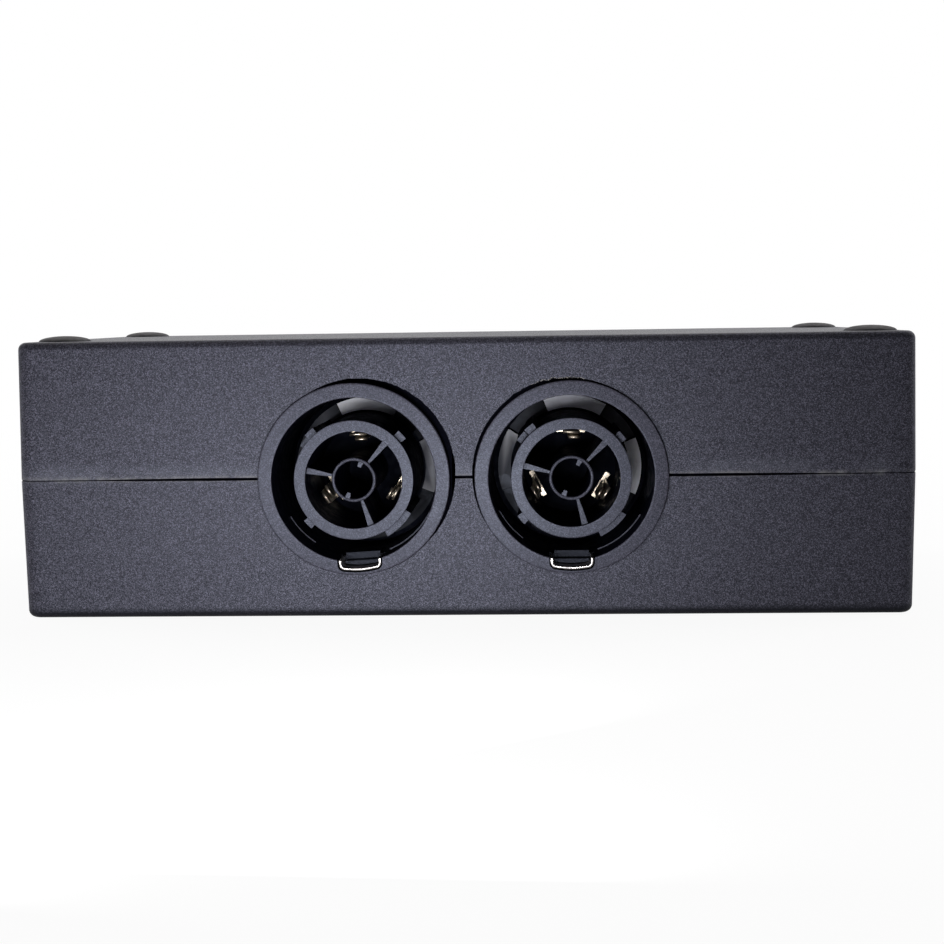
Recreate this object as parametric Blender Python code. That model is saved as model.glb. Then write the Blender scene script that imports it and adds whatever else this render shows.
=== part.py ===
"""Power distribution box: a two-part moulded case that holds two locking outlets and one inlet.

Metres, +Z up. The origin is the centre of the flat face that the box rests on. The outlets face
-Y and the inlet faces -X. A connector's own frame has its axis along Y, with depth counted inwards
from the face of its ring.
"""

from math import atan2, ceil, copysign, cos, degrees, pi, radians, sin, sqrt

import bmesh
import bpy
from mathutils import Matrix, Vector

# Case
CASE_WIDTH = 0.1200
CASE_DEPTH = 0.0600
LOWER_HEIGHT = 0.0188
UPPER_HEIGHT = 0.0186
WALL = 0.0022
FACE_THICKNESS = 0.0022
DRAFT = 0.0112
CORNER_RADIUS = 0.0020
EDGE_RADIUS = 0.0010
PARTING_GAP = 0.0003
LIP_THICKNESS = 0.0009
LIP_HEIGHT = 0.0014

# Running and seating clearances
SEAT_GAP = 0.0003
SNUG_GAP = 0.00015

# Screw posts, case screws and feet
POST_FROM_SIDE = 0.0051
POST_FROM_FRONT = 0.0070
POST_WALL = 0.0012
SCREW_SEAT_HEIGHT = 0.0060
SCREW_HEAD_RADIUS = 0.0026
SCREW_HEAD_HEIGHT = 0.0020
SCREW_RADIUS = 0.00145
SCREW_BITE = 0.0080
FOOT_RADIUS = 0.0035
FOOT_DOME = 0.00075
FOOT_RIM = 0.0002
FOOT_SPIGOT = 0.0022

# Connector barrel
BORE_RADIUS = 0.0110
RING_WALL = 0.00185
BODY_WALL = 0.0010
RING_PROUD = 0.0005
RING_CHAMFER = 0.00025
FLANGE_MARGIN = 0.00015
FLANGE_CLEARANCE = 0.0009
FLANGE_THICKNESS = 0.0020
FLANGE_CORNER = 0.0025
FLANGE_GAP = 0.0030
FLANGE_HOLE_RADIUS = 0.0016
FLANGE_HOLE_MARGIN = 0.0034
BORE_DEPTH = 0.0202
BORE_DROP = 0.0001
FLOOR_THICKNESS = 0.0015
FLOOR_LEDGE = 0.0023
STEP_HEIGHT = 0.00015
STEP_SETBACK = 0.0057
STEP_LENGTH = 0.0070
RING_DROP = 0.00015

# Connector insert
PLUG_GAP = 0.0030
INSERT_WALL = 0.0015
INSERT_SETBACK = 0.00015
BASE_THICKNESS = 0.0015
LAND_RISE = 0.0014
LAND_INSIDE = 0.0004
LAND_OUTSIDE = 0.0022
SECTOR_FLOOR = 0.0028
HUB_LENGTH = 0.0015
TUBE_BORE = 0.0026
TUBE_WALL = 0.00035
TUBE_SETBACK = 0.0004
RIB_SETBACK = 0.0011
RIB_THICK = 0.00085
RIB_THIN = 0.00030
LUG_HEIGHT = 0.00085
LUG_WIDTH = 0.0013
LUG_SETBACK = 0.0012
TOOTH_HEIGHT = 0.0007
CLIP_GROOVE = 0.0005
CLIP_WIDTH = 0.0021
CLIP_THICKNESS = 0.0008
CLIP_SPAN = (-55.0, 235.0)

# Latch keeper, in a notch at the foot of the ring
KEEPER_WIDTH = 0.00575
KEEPER_THICKNESS = 0.0004
KEEPER_FROM_EDGE = 0.0006
KEEPER_CORNER = 0.0008
LEDGE_SETBACK = 0.0026
LEDGE_STEP = 0.0020
LEDGE_RISE = 0.0007
LEDGE_LENGTH = 0.0034

# Contacts, sleeves and wires
CONTACT_RADIUS = 0.0052
CONTACT_WIDTH = 0.0040
CONTACT_THICKNESS = 0.0007
CONTACT_SETBACK = 0.0070
CONTACT_BOW = 0.0012
TAB_LENGTH = 0.0050
SLEEVE_LENGTH = 0.0070
SLEEVE_WALL = 0.0011
WIRE_RADIUS = 0.00145
WIRE_SPACING = 0.0034

# The cut-outs are cut by hand: clearance, then how far each is off its connector's axis
LEFT_CUTOUT = (0.00048, 0.00020, 0.00012)
RIGHT_CUTOUT = (0.00034, -0.00008, 0.00006)
INLET_CUTOUT = (0.00034, 0.0, 0.0)

# Retaining ribs behind the flanges
RIB_WALL = 0.0015

# Where the inlet sits from the rear, and the room for wires between its sleeves and the left outlet
INLET_FROM_REAR = 0.0265
WIRING_ROOM = 0.00285

# Angles in degrees, anticlockwise from +X as seen from in front of the connector
POLES = {"line": 208.0, "neutral": -32.0, "earth": 88.0}
RIB_ANGLES = (165.6, 45.6, -74.4)
LUG_ANGLES = (129.5, 39.0, 220.0)
LONG_LUG = (-64.0, -35.0)
TOOTH_ANGLES = (63.0, 246.0)
LANDS = ((-24.0, 23.0), (59.0, 111.0), (148.0, 199.0), (237.0, 287.0))
WALL_STEPS = ((207.0, 233.0), (-71.0, -31.0))

# How far each connector is turned about its own axis, as it was fitted
ROLLS = {"outlet_left": 3.3, "outlet_right": 0.0, "inlet": 0.0}

# How far each wire reaches out of its sleeves before it turns, and how far up or down: a supply
# wire at the inlet and then at the outlet, a link wire alike at both outlets
SUPPLY_REACH = {
    "line": ((0.003, 0.0005), (0.003, -0.0005)),
    "neutral": ((0.0175, -0.014), (0.0095, -0.005)),
    "earth": ((0.0095, 0.010), (0.0045, 0.0015)),
}
LINK_REACH = {"line": (0.0095, 0.0), "neutral": (0.009, 0.0035), "earth": (0.0095, 0.0005)}

# How finely round forms are faceted, how deep joined pieces overlap, and what counts as one point
TURN_STEPS = 36
SMALL_STEPS = 16
CORNER_STEPS = 4
EMBED = 0.0002
WELD = 1e-6

# Sizes that follow from the ones above
RING_RADIUS = BORE_RADIUS + RING_WALL
BODY_RADIUS = BORE_RADIUS + BODY_WALL
FLANGE_WIDTH = 2 * (RING_RADIUS + FLANGE_MARGIN)
FLANGE_TOP = UPPER_HEIGHT - FACE_THICKNESS - FLANGE_CLEARANCE
FLANGE_BOTTOM = LOWER_HEIGHT - FACE_THICKNESS - FLANGE_CLEARANCE
FLANGE_FRONT = RING_PROUD + WALL + DRAFT * max(FLANGE_TOP, FLANGE_BOTTOM) + SEAT_GAP
FLANGE_BACK = FLANGE_FRONT + FLANGE_THICKNESS
AXIS_DROP = RING_DROP + BORE_DROP
PITCH = FLANGE_WIDTH + FLANGE_GAP
BODY_END = BORE_DEPTH + FLOOR_THICKNESS
FLOOR_HOLE = BORE_RADIUS - FLOOR_LEDGE
BASE_BACK = BORE_DEPTH - SEAT_GAP
BASE_FRONT = BASE_BACK - BASE_THICKNESS
SECTOR_END = BASE_BACK - SECTOR_FLOOR
INSERT_RADIUS = BORE_RADIUS - PLUG_GAP
SECTOR_RADIUS = INSERT_RADIUS - INSERT_WALL
TUBE_RADIUS = TUBE_BORE + TUBE_WALL
HUB_RADIUS = FLOOR_HOLE - SEAT_GAP
HUB_END = BODY_END + 2 * SEAT_GAP + CLIP_THICKNESS + HUB_LENGTH / 2
CLIP_FRONT = BODY_END + SEAT_GAP
TAB_END = HUB_END + TAB_LENGTH
SLEEVE_START = HUB_END + SEAT_GAP
SLEEVE_END = SLEEVE_START + SLEEVE_LENGTH
WIRE_START = SLEEVE_END + SEAT_GAP
NOTCH_END = FLANGE_BACK - SEAT_GAP
PARTING = LOWER_HEIGHT
LIP_INSIDE = WALL - SNUG_GAP
LIP_OUTSIDE = LIP_INSIDE - LIP_THICKNESS
FRONT = -CASE_DEPTH / 2
COUNTERBORE = SCREW_HEAD_RADIUS + SEAT_GAP
POST_RADIUS = COUNTERBORE + POST_WALL
POST_X = CASE_WIDTH / 2 - POST_FROM_SIDE
POST_Y = CASE_DEPTH / 2 - POST_FROM_FRONT
INLET_Y = CASE_DEPTH / 2 - INLET_FROM_REAR
LEFT_X = -CASE_WIDTH / 2 - RING_PROUD + SLEEVE_END + WIRING_ROOM + BODY_RADIUS
RIGHT_X = LEFT_X + PITCH
MIDDLE_X = (LEFT_X + RIGHT_X) / 2


def material(name, colour, roughness, metallic=0.0):
    """A plain Principled material."""
    made = bpy.data.materials.new(name)
    made.use_nodes = True
    shader = made.node_tree.nodes["Principled BSDF"]
    shader.inputs["Base Color"].default_value = (*colour, 1.0)
    shader.inputs["Roughness"].default_value = roughness
    shader.inputs["Metallic"].default_value = metallic
    made.diffuse_color = (*colour, 1.0)
    return made


def object_from(mesh, name="tool"):
    """An object holding a bmesh, with its faces turned outwards."""
    bmesh.ops.recalc_face_normals(mesh, faces=mesh.faces)
    data = bpy.data.meshes.new(name)
    mesh.to_mesh(data)
    mesh.free()
    made = bpy.data.objects.new(name, data)
    bpy.context.scene.collection.objects.link(made)
    return made


def boolean(body, tool, operation):
    """Cuts a tool out of a body, or joins it on, and welds points that rounding has split."""
    modifier = body.modifiers.new("Boolean", "BOOLEAN")
    modifier.operation = operation
    modifier.solver = "EXACT"
    modifier.object = tool
    graph = bpy.context.evaluated_depsgraph_get()
    result = bpy.data.meshes.new_from_object(body.evaluated_get(graph), depsgraph=graph)
    body.modifiers.remove(modifier)
    body.data = result
    bpy.data.objects.remove(tool)
    mesh = bmesh.new()
    mesh.from_mesh(result)
    bmesh.ops.remove_doubles(mesh, verts=mesh.verts, dist=WELD)
    bmesh.ops.dissolve_degenerate(mesh, edges=mesh.edges, dist=WELD)
    mesh.to_mesh(result)
    mesh.free()


def cut(body, *tools):
    for tool in tools:
        boolean(body, tool, "DIFFERENCE")


def join(body, *tools):
    for tool in tools:
        boolean(body, tool, "UNION")


def finish(body, name, surface, smooth_angle=35.0):
    """Names a finished body, gives it its material and shades its round faces smooth."""
    body.name = name
    body.data.name = name
    body.data.materials.clear()
    body.data.materials.append(surface)
    for face in body.data.polygons:
        face.material_index = 0
    body.data.shade_smooth()
    body.data.set_sharp_from_angle(angle=radians(smooth_angle))
    return body


def turned(outline, axis="Y", steps=TURN_STEPS):
    """A closed outline of (radius, height) points spun once round an axis."""
    mesh = bmesh.new()
    if axis == "Y":
        corners = [mesh.verts.new((radius, height, 0.0)) for radius, height in outline]
        direction = Vector((0.0, 1.0, 0.0))
    else:
        corners = [mesh.verts.new((radius, 0.0, height)) for radius, height in outline]
        direction = Vector((0.0, 0.0, 1.0))
    edges = []
    for index, corner in enumerate(corners):
        following = (index + 1) % len(corners)
        if outline[index][0] > 0.0 or outline[following][0] > 0.0:
            edges.append(mesh.edges.new((corner, corners[following])))
    bmesh.ops.spin(
        mesh,
        geom=corners + edges,
        cent=(0.0, 0.0, 0.0),
        axis=direction,
        angle=2 * pi,
        steps=steps,
        use_merge=True,
    )
    bmesh.ops.remove_doubles(mesh, verts=mesh.verts, dist=1e-7)
    return object_from(mesh)


def prism(outline, start, end, axis="Y"):
    """An outline extruded along an axis: (x, z) points along Y, or (x, y) points along Z."""
    mesh = bmesh.new()
    if axis == "Y":
        corners = [mesh.verts.new((x, start, z)) for x, z in outline]
        travel = Vector((0.0, end - start, 0.0))
    else:
        corners = [mesh.verts.new((x, y, start)) for x, y in outline]
        travel = Vector((0.0, 0.0, end - start))
    face = mesh.faces.new(corners)
    grown = bmesh.ops.extrude_face_region(mesh, geom=[face])["geom"]
    bmesh.ops.translate(mesh, vec=travel, verts=[v for v in grown if isinstance(v, bmesh.types.BMVert)])
    return object_from(mesh)


def block(low, high):
    """A box between two corners."""
    outline = [(low[0], low[1]), (high[0], low[1]), (high[0], high[1]), (low[0], high[1])]
    return prism(outline, low[2], high[2], axis="Z")


def rod(radius, start, end, centre=(0.0, 0.0), axis="Y", steps=TURN_STEPS):
    """A round rod along an axis, about a centre in the plane across it."""
    made = turned([(0.0, start), (radius, start), (radius, end), (0.0, end)], axis, steps)
    offset = (centre[0], 0.0, centre[1]) if axis == "Y" else (centre[0], centre[1], 0.0)
    made.data.transform(Matrix.Translation(offset))
    return made


def arc(radius, start, end, step=10.0):
    """Points on a circle between two angles in degrees."""
    count = max(1, ceil(abs(end - start) / step))
    angles = [radians(start + (end - start) * index / count) for index in range(count + 1)]
    return [(radius * cos(angle), radius * sin(angle)) for angle in angles]


def sector(inner, outer, start, end, front, back, step=10.0):
    """A piece of a ring between two radii, two angles and two depths."""
    return prism(arc(outer, start, end, step) + arc(inner, end, start, step), front, back)


def rounded_rectangle(half_width, half_depth, radius, steps=CORNER_STEPS):
    """The outline of a rectangle with round corners, anticlockwise."""
    outline = []
    corners = ((1, 1, 0.0), (-1, 1, 90.0), (-1, -1, 180.0), (1, -1, 270.0))
    for side_x, side_y, first in corners:
        for step in range(steps + 1):
            angle = radians(first + 90.0 * step / steps)
            x = side_x * (half_width - radius) + radius * cos(angle)
            y = side_y * (half_depth - radius) + radius * sin(angle)
            outline.append((x, y))
    return outline


def lofted(levels):
    """A closed body through outlines of the same number of points: (outline, height) pairs."""
    mesh = bmesh.new()
    loops = [[mesh.verts.new((x, y, height)) for x, y in outline] for outline, height in levels]
    mesh.faces.new(loops[0])
    mesh.faces.new(loops[-1])
    for low, high in zip(loops, loops[1:]):
        for index, corner in enumerate(low):
            following = (index + 1) % len(low)
            mesh.faces.new((corner, low[following], high[following], high[index]))
    return object_from(mesh)


def case_level(inset, corner, rise, side):
    """The case's outline at a height above or below the parting plane, set in from its outside."""
    drawn_in = inset + DRAFT * abs(rise)
    outline = rounded_rectangle(CASE_WIDTH / 2 - drawn_in, CASE_DEPTH / 2 - drawn_in, corner)
    return outline, PARTING + side * rise


def case_block(inset, corner, start, end, side):
    """A drafted block of the case's outline between two heights from the parting plane."""
    return lofted([case_level(inset, corner, start, side), case_level(inset, corner, end, side)])


def lip_band(outer_inset, inner_inset, height, side):
    """A band that follows the case's outline, above the parting plane."""
    corner = CORNER_RADIUS / 2
    band = case_block(outer_inset, corner, -SEAT_GAP, height, side)
    cut(band, case_block(inner_inset, corner, -2 * SEAT_GAP, height + SEAT_GAP, side))
    return band


def outer_block(height, side):
    """The outside of a case half: drafted walls and a rounded edge round its face."""
    levels = [case_level(0.0, CORNER_RADIUS, PARTING_GAP / 2, side)]
    for step in range(CORNER_STEPS + 1):
        angle = radians(90.0 * step / CORNER_STEPS)
        inset = EDGE_RADIUS * (1 - cos(angle))
        rise = height - EDGE_RADIUS * (1 - sin(angle))
        levels.append(case_level(inset, CORNER_RADIUS - inset, rise, side))
    return lofted(levels)


def between(first, second):
    """Two heights in rising order, as a block needs them."""
    return min(first, second), max(first, second)


def retaining_ribs(height, side):
    """The ribs that trap the connectors' flanges: one across behind them, guides at their sides."""
    ceiling = PARTING + side * (height - FACE_THICKNESS + EMBED)
    crest = PARTING + side * (BODY_RADIUS + AXIS_DROP + SEAT_GAP)
    guide_end = PARTING + side * (PARTING_GAP / 2 + LIP_HEIGHT + 2 * SEAT_GAP)
    rib_low, rib_high = between(ceiling, crest)
    guide_low, guide_high = between(ceiling, guide_end)
    reach = PITCH / 2 + FLANGE_WIDTH / 2 + SEAT_GAP + RIB_WALL
    rib_front = FRONT - RING_PROUD + FLANGE_BACK + SEAT_GAP
    rib_back = rib_front + RIB_WALL
    wall_inside = FRONT + WALL - EMBED
    divider = FLANGE_GAP / 2 - SEAT_GAP
    left, right = MIDDLE_X - reach, MIDDLE_X + reach
    ribs = [block((left, rib_front, rib_low), (right, rib_back, rib_high))]
    guides = (
        (left, left + RIB_WALL),
        (MIDDLE_X - divider, MIDDLE_X + divider),
        (right - RIB_WALL, right),
    )
    for low, high in guides:
        ribs.append(block((low, wall_inside, guide_low), (high, rib_back, guide_high)))
    inlet_reach = FLANGE_WIDTH / 2 + SEAT_GAP + RIB_WALL
    inlet_front = -CASE_WIDTH / 2 - RING_PROUD + FLANGE_BACK + SEAT_GAP
    inlet_back = inlet_front + RIB_WALL
    end_inside = -CASE_WIDTH / 2 + WALL - EMBED
    low_y, high_y = INLET_Y - inlet_reach, INLET_Y + inlet_reach
    ribs.append(block((inlet_front, low_y, rib_low), (inlet_back, high_y, rib_high)))
    for low, high in ((low_y, low_y + RIB_WALL), (high_y - RIB_WALL, high_y)):
        ribs.append(block((end_inside, low, guide_low), (inlet_back, high, guide_high)))
    return ribs


def post_places():
    """The four corners of the case where a post, a screw and a foot share an axis."""
    return [(x, y) for y in (-POST_Y, POST_Y) for x in (-POST_X, POST_X)]


def connector_cutouts():
    """The round openings through the walls for the connectors' rings."""
    through = WALL + DRAFT * RING_RADIUS + SNUG_GAP
    tools = []
    for x, (clearance, across, up) in ((LEFT_X, LEFT_CUTOUT), (RIGHT_X, RIGHT_CUTOUT)):
        centre = (x + across, PARTING - RING_DROP + up)
        tools.append(rod(RING_RADIUS + clearance, FRONT - WALL, FRONT + through, centre))
    clearance, across, up = INLET_CUTOUT
    inlet = rod(RING_RADIUS + clearance, -WALL, through)
    inlet.data.transform(Matrix.Rotation(radians(-90.0), 4, "Z"))
    place = (-CASE_WIDTH / 2, INLET_Y + across, PARTING - RING_DROP + up)
    inlet.data.transform(Matrix.Translation(place))
    tools.append(inlet)
    return tools


def case_half(height, side):
    """One case half with its posts and ribs, before its lip and its holes."""
    half = outer_block(height, side)
    inner_corner = CORNER_RADIUS / 2
    cut(half, case_block(WALL, inner_corner, -SEAT_GAP, height - FACE_THICKNESS, side))
    posts = between(PARTING + side * PARTING_GAP / 2, PARTING + side * (height - FACE_THICKNESS + EMBED))
    for place in post_places():
        join(half, rod(POST_RADIUS, *posts, place, "Z", SMALL_STEPS))
    join(half, *retaining_ribs(height, side))
    return half


def make_upper_shell(surface):
    """The half that carries the feet: its face is bored for the screws and recessed for the feet."""
    shell = case_half(UPPER_HEIGHT, 1)
    deep = PARTING_GAP / 2 + LIP_HEIGHT + SEAT_GAP
    cut(shell, lip_band(LIP_OUTSIDE - SEAT_GAP, LIP_INSIDE + SEAT_GAP, deep, 1))
    top = PARTING + UPPER_HEIGHT
    seat = PARTING + SCREW_SEAT_HEIGHT
    for place in post_places():
        cut(shell, rod(SCREW_RADIUS + SEAT_GAP, PARTING - WALL, seat + SEAT_GAP, place, "Z", SMALL_STEPS))
        cut(shell, rod(COUNTERBORE, seat, top + WALL, place, "Z", SMALL_STEPS))
        recess = FOOT_RIM + SEAT_GAP
        cut(shell, rod(FOOT_RADIUS + SEAT_GAP, top - recess, top + WALL, place, "Z", SMALL_STEPS))
    cut(shell, *connector_cutouts())
    return finish(shell, "upper_shell", surface)


def make_lower_shell(surface):
    """The plain half, with the lip that locates the other half and the pilot holes of the screws."""
    shell = case_half(LOWER_HEIGHT, -1)
    join(shell, lip_band(LIP_OUTSIDE, LIP_INSIDE, LIP_HEIGHT, 1))
    pilot_end = PARTING - SCREW_BITE - SEAT_GAP
    for place in post_places():
        cut(shell, rod(SCREW_RADIUS + SNUG_GAP, pilot_end, PARTING + WALL, place, "Z", SMALL_STEPS))
    cut(shell, *connector_cutouts())
    return finish(shell, "lower_shell", surface)


def make_feet(surface):
    """Low domed feet that plug into the screws' counterbores."""
    top = PARTING + UPPER_HEIGHT
    spigot = COUNTERBORE - SEAT_GAP
    outline = [(0.0, -FOOT_RIM - FOOT_SPIGOT), (spigot, -FOOT_RIM - FOOT_SPIGOT), (spigot, -FOOT_RIM)]
    outline += [(FOOT_RADIUS, -FOOT_RIM), (FOOT_RADIUS, 0.0)]
    for angle in (18.0, 38.0, 62.0, 90.0):
        outline.append((FOOT_RADIUS * cos(radians(angle)), FOOT_DOME * sin(radians(angle))))
    outline[-1] = (0.0, FOOT_DOME)
    first = finish(turned(outline, "Z", SMALL_STEPS), "foot_1", surface, 60.0)
    copies("foot", first, [(x, y, top) for x, y in post_places()])


def make_case_screws(surface):
    """Pan-head screws, seated in the upper half and biting into the lower half's posts."""
    under_head = SCREW_SEAT_HEIGHT + SEAT_GAP
    crown = under_head + SCREW_HEAD_HEIGHT
    outline = [(0.0, -SCREW_BITE), (SCREW_RADIUS * 0.4, -SCREW_BITE)]
    outline += [(SCREW_RADIUS, SCREW_RADIUS - SCREW_BITE), (SCREW_RADIUS, under_head)]
    outline += [(SCREW_HEAD_RADIUS, under_head), (SCREW_HEAD_RADIUS, crown - SCREW_HEAD_HEIGHT / 3)]
    outline += [(SCREW_HEAD_RADIUS * 0.7, crown), (0.0, crown)]
    first = finish(turned(outline, "Z", SMALL_STEPS), "case_screw_1", surface)
    copies("case_screw", first, [(x, y, PARTING) for x, y in post_places()])


def copies(name, first, places):
    """Puts a piece at the first place, and a numbered copy of it at each of the others."""
    first.location = places[0]
    for number, place in enumerate(places[1:], start=2):
        copy = bpy.data.objects.new(f"{name}_{number}", first.data)
        copy.location = place
        bpy.context.scene.collection.objects.link(copy)


def flange_outline():
    """The flange's outline in a connector's own frame, a little taller below than above."""
    middle = (FLANGE_TOP - FLANGE_BOTTOM) / 2 + AXIS_DROP
    half_height = (FLANGE_TOP + FLANGE_BOTTOM) / 2
    outline = rounded_rectangle(FLANGE_WIDTH / 2, half_height, FLANGE_CORNER, 3)
    return [(x, z + middle) for x, z in outline]


def keeper_loop(half, radius, corner, crest):
    """An open loop down one side of the keeper's notch, round its bottom and up the other side."""
    x, z = half - corner, -sqrt((radius - corner) ** 2 - (half - corner) ** 2)
    turn = degrees(atan2(z, x))
    right = [(x + dx, z + dz) for dx, dz in arc(corner, 0.0, turn, 30.0)]
    left = [(-x, z) for x, z in right[::-1]]
    return [(half, crest)] + right + arc(radius, turn, -180.0 - turn)[1:-1] + left + [(-half, crest)]


def make_barrel(roll):
    """The outer barrel: ring face, flange, bore with its steps, and the notch for the keeper."""
    step = FLANGE_BACK - FLANGE_THICKNESS / 2
    outline = [(0.0, 0.0), (RING_RADIUS - RING_CHAMFER, 0.0), (RING_RADIUS, RING_CHAMFER)]
    barrel = turned(outline + [(RING_RADIUS, step), (0.0, step)])
    barrel.data.transform(Matrix.Translation((0.0, 0.0, BORE_DROP)))
    join(barrel, rod(BODY_RADIUS, step - EMBED, BODY_END))
    join(barrel, prism(flange_outline(), FLANGE_FRONT, FLANGE_BACK))
    bore = [(0.0, -WALL), (BORE_RADIUS + RING_CHAMFER, -WALL), (BORE_RADIUS + RING_CHAMFER, 0.0)]
    bore += [(BORE_RADIUS, RING_CHAMFER), (BORE_RADIUS, BORE_DEPTH), (FLOOR_HOLE, BORE_DEPTH)]
    bore += [(FLOOR_HOLE, BODY_END + WALL), (0.0, BODY_END + WALL)]
    cut(barrel, turned(bore))
    hole_x = FLANGE_WIDTH / 2 - FLANGE_HOLE_MARGIN
    hole_up = FLANGE_TOP + AXIS_DROP - FLANGE_HOLE_MARGIN
    hole_down = FLANGE_BOTTOM - AXIS_DROP - FLANGE_HOLE_MARGIN
    for centre in ((-hole_x, hole_up), (hole_x, -hole_down)):
        cut(barrel, rod(FLANGE_HOLE_RADIUS, FLANGE_FRONT - WALL, FLANGE_BACK + WALL, centre, steps=12))
    step_end = STEP_SETBACK + STEP_LENGTH
    for start, end in WALL_STEPS:
        inner, outer = BORE_RADIUS - STEP_HEIGHT, BORE_RADIUS + EMBED
        wall_step = sector(inner, outer, start, end, STEP_SETBACK, step_end)
        join(barrel, at_angle(wall_step, roll))
    outside = RING_RADIUS - KEEPER_FROM_EDGE
    notch_half = KEEPER_WIDTH / 2 + SNUG_GAP
    notch = keeper_loop(notch_half, outside + SNUG_GAP, KEEPER_CORNER + SNUG_GAP, -BORE_RADIUS * 0.9)
    cut(barrel, at_angle(prism(notch, -WALL, NOTCH_END), roll))
    inset = KEEPER_THICKNESS + SNUG_GAP
    crests = (-BORE_RADIUS - SNUG_GAP, LEDGE_RISE - BORE_RADIUS)
    for number, crest in enumerate(crests):
        ledge = keeper_loop(KEEPER_WIDTH / 2 - inset, outside - inset, KEEPER_CORNER - inset, crest)
        front = LEDGE_SETBACK + number * LEDGE_STEP
        join(barrel, at_angle(prism(ledge, front, NOTCH_END + EMBED), roll))
    half = KEEPER_WIDTH / 2 - inset
    low, high = -BORE_RADIUS - EMBED, LEDGE_RISE - BORE_RADIUS
    sill = block((-half, NOTCH_END - EMBED, low), (half, NOTCH_END + LEDGE_LENGTH, high))
    join(barrel, at_angle(sill, roll))
    return barrel


def make_insert():
    """The insert: a ring round three sectors, with ribs to a centre tube, lugs, base and hub."""
    outline = [(0.0, SECTOR_END), (TUBE_BORE, SECTOR_END), (TUBE_BORE, TUBE_SETBACK)]
    outline += [(TUBE_RADIUS, TUBE_SETBACK), (TUBE_RADIUS, SECTOR_END), (SECTOR_RADIUS, SECTOR_END)]
    outline += [(SECTOR_RADIUS, INSERT_SETBACK), (INSERT_RADIUS, INSERT_SETBACK), (INSERT_RADIUS, BASE_FRONT)]
    outline += [(BORE_RADIUS - SEAT_GAP, BASE_FRONT), (BORE_RADIUS - SEAT_GAP, BASE_BACK)]
    outline += [(HUB_RADIUS, BASE_BACK), (HUB_RADIUS, BODY_END), (HUB_RADIUS - CLIP_GROOVE, BODY_END)]
    groove_end = BODY_END + 2 * SEAT_GAP + CLIP_THICKNESS
    outline += [(HUB_RADIUS - CLIP_GROOVE, groove_end), (HUB_RADIUS, groove_end), (HUB_RADIUS, HUB_END)]
    outline += [(0.0, HUB_END)]
    insert = turned(outline)
    for angle in RIB_ANGLES:
        inner, outer = TUBE_RADIUS - TUBE_WALL / 2, SECTOR_RADIUS + EMBED
        rib = [(inner, -RIB_THIN / 2), (outer, -RIB_THICK / 2), (outer, RIB_THICK / 2), (inner, RIB_THIN / 2)]
        join(insert, at_angle(prism(rib, RIB_SETBACK, SECTOR_END + EMBED), angle))
    half = LUG_WIDTH / INSERT_RADIUS * 90.0 / pi
    spans = [(angle - half, angle + half) for angle in LUG_ANGLES] + [LONG_LUG]
    for start, end in spans:
        inner, outer = INSERT_RADIUS - EMBED, INSERT_RADIUS + LUG_HEIGHT
        join(insert, sector(inner, outer, start, end, LUG_SETBACK, BASE_FRONT + EMBED))
    for start, end in LANDS:
        inner, outer = INSERT_RADIUS + LAND_INSIDE, INSERT_RADIUS + LAND_OUTSIDE
        land = sector(inner, outer, start, end, BASE_FRONT - LAND_RISE, BASE_FRONT + EMBED, step=18.0)
        join(insert, land)
    for angle in TOOTH_ANGLES:
        low, high = TUBE_BORE - TOOTH_HEIGHT, TUBE_BORE + TUBE_WALL / 2
        crest, foot = TOOTH_HEIGHT / 3, TOOTH_HEIGHT / 2
        tooth = [(low, -crest), (high, -foot), (high, foot), (low, crest)]
        join(insert, at_angle(prism(tooth, TUBE_SETBACK + SNUG_GAP, SECTOR_END + EMBED), angle))
    for angle in POLES.values():
        half_thick = CONTACT_THICKNESS / 2 + SNUG_GAP
        half_wide = CONTACT_WIDTH / 2 + SNUG_GAP
        low, high = CONTACT_RADIUS - half_thick, CONTACT_RADIUS + half_thick
        slot = [(low, -half_wide), (high, -half_wide), (high, half_wide), (low, half_wide)]
        cut(insert, at_angle(prism(slot, SECTOR_END - WALL, HUB_END + WALL), angle))
    return insert


def at_angle(piece, angle):
    """Turns a piece made along +X to an angle round the connector's axis."""
    piece.data.transform(Matrix.Rotation(radians(-angle), 4, "Y"))
    return piece


def make_clip():
    """A spring clip in the hub's groove, open at the bottom, which holds the insert in the barrel."""
    inner = HUB_RADIUS - CLIP_GROOVE + SNUG_GAP
    back = CLIP_FRONT + CLIP_THICKNESS
    return sector(inner, inner + CLIP_WIDTH, *CLIP_SPAN, CLIP_FRONT, back, step=15.0)


def make_keeper():
    """The latch keeper: a steel strip bent to a shallow U that lines the notch."""
    half = KEEPER_WIDTH / 2
    radius = RING_RADIUS - KEEPER_FROM_EDGE
    crest = -sqrt(BORE_RADIUS**2 - half**2)
    outer = keeper_loop(half, radius, KEEPER_CORNER, crest)
    thin = KEEPER_THICKNESS
    inner = keeper_loop(half - thin, radius - thin, KEEPER_CORNER - thin, crest)
    return prism(outer + inner[::-1], SNUG_GAP, NOTCH_END - SNUG_GAP)


def strip_outline(path, thickness):
    """The outline of a strip of even thickness bent along a path."""
    left, right = [], []
    for index, point in enumerate(path):
        before = path[max(index - 1, 0)]
        after = path[min(index + 1, len(path) - 1)]
        into = (point - before).normalized() if index else (after - point).normalized()
        out = (after - point).normalized() if index < len(path) - 1 else into
        along = (into + out).normalized()
        across = Vector((-along.y, along.x))
        reach = thickness / 2 / max(0.5, along.dot(into))
        left.append(point + across * reach)
        right.append(point - across * reach)
    return [(p.x, p.y) for p in left + right[::-1]]


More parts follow.
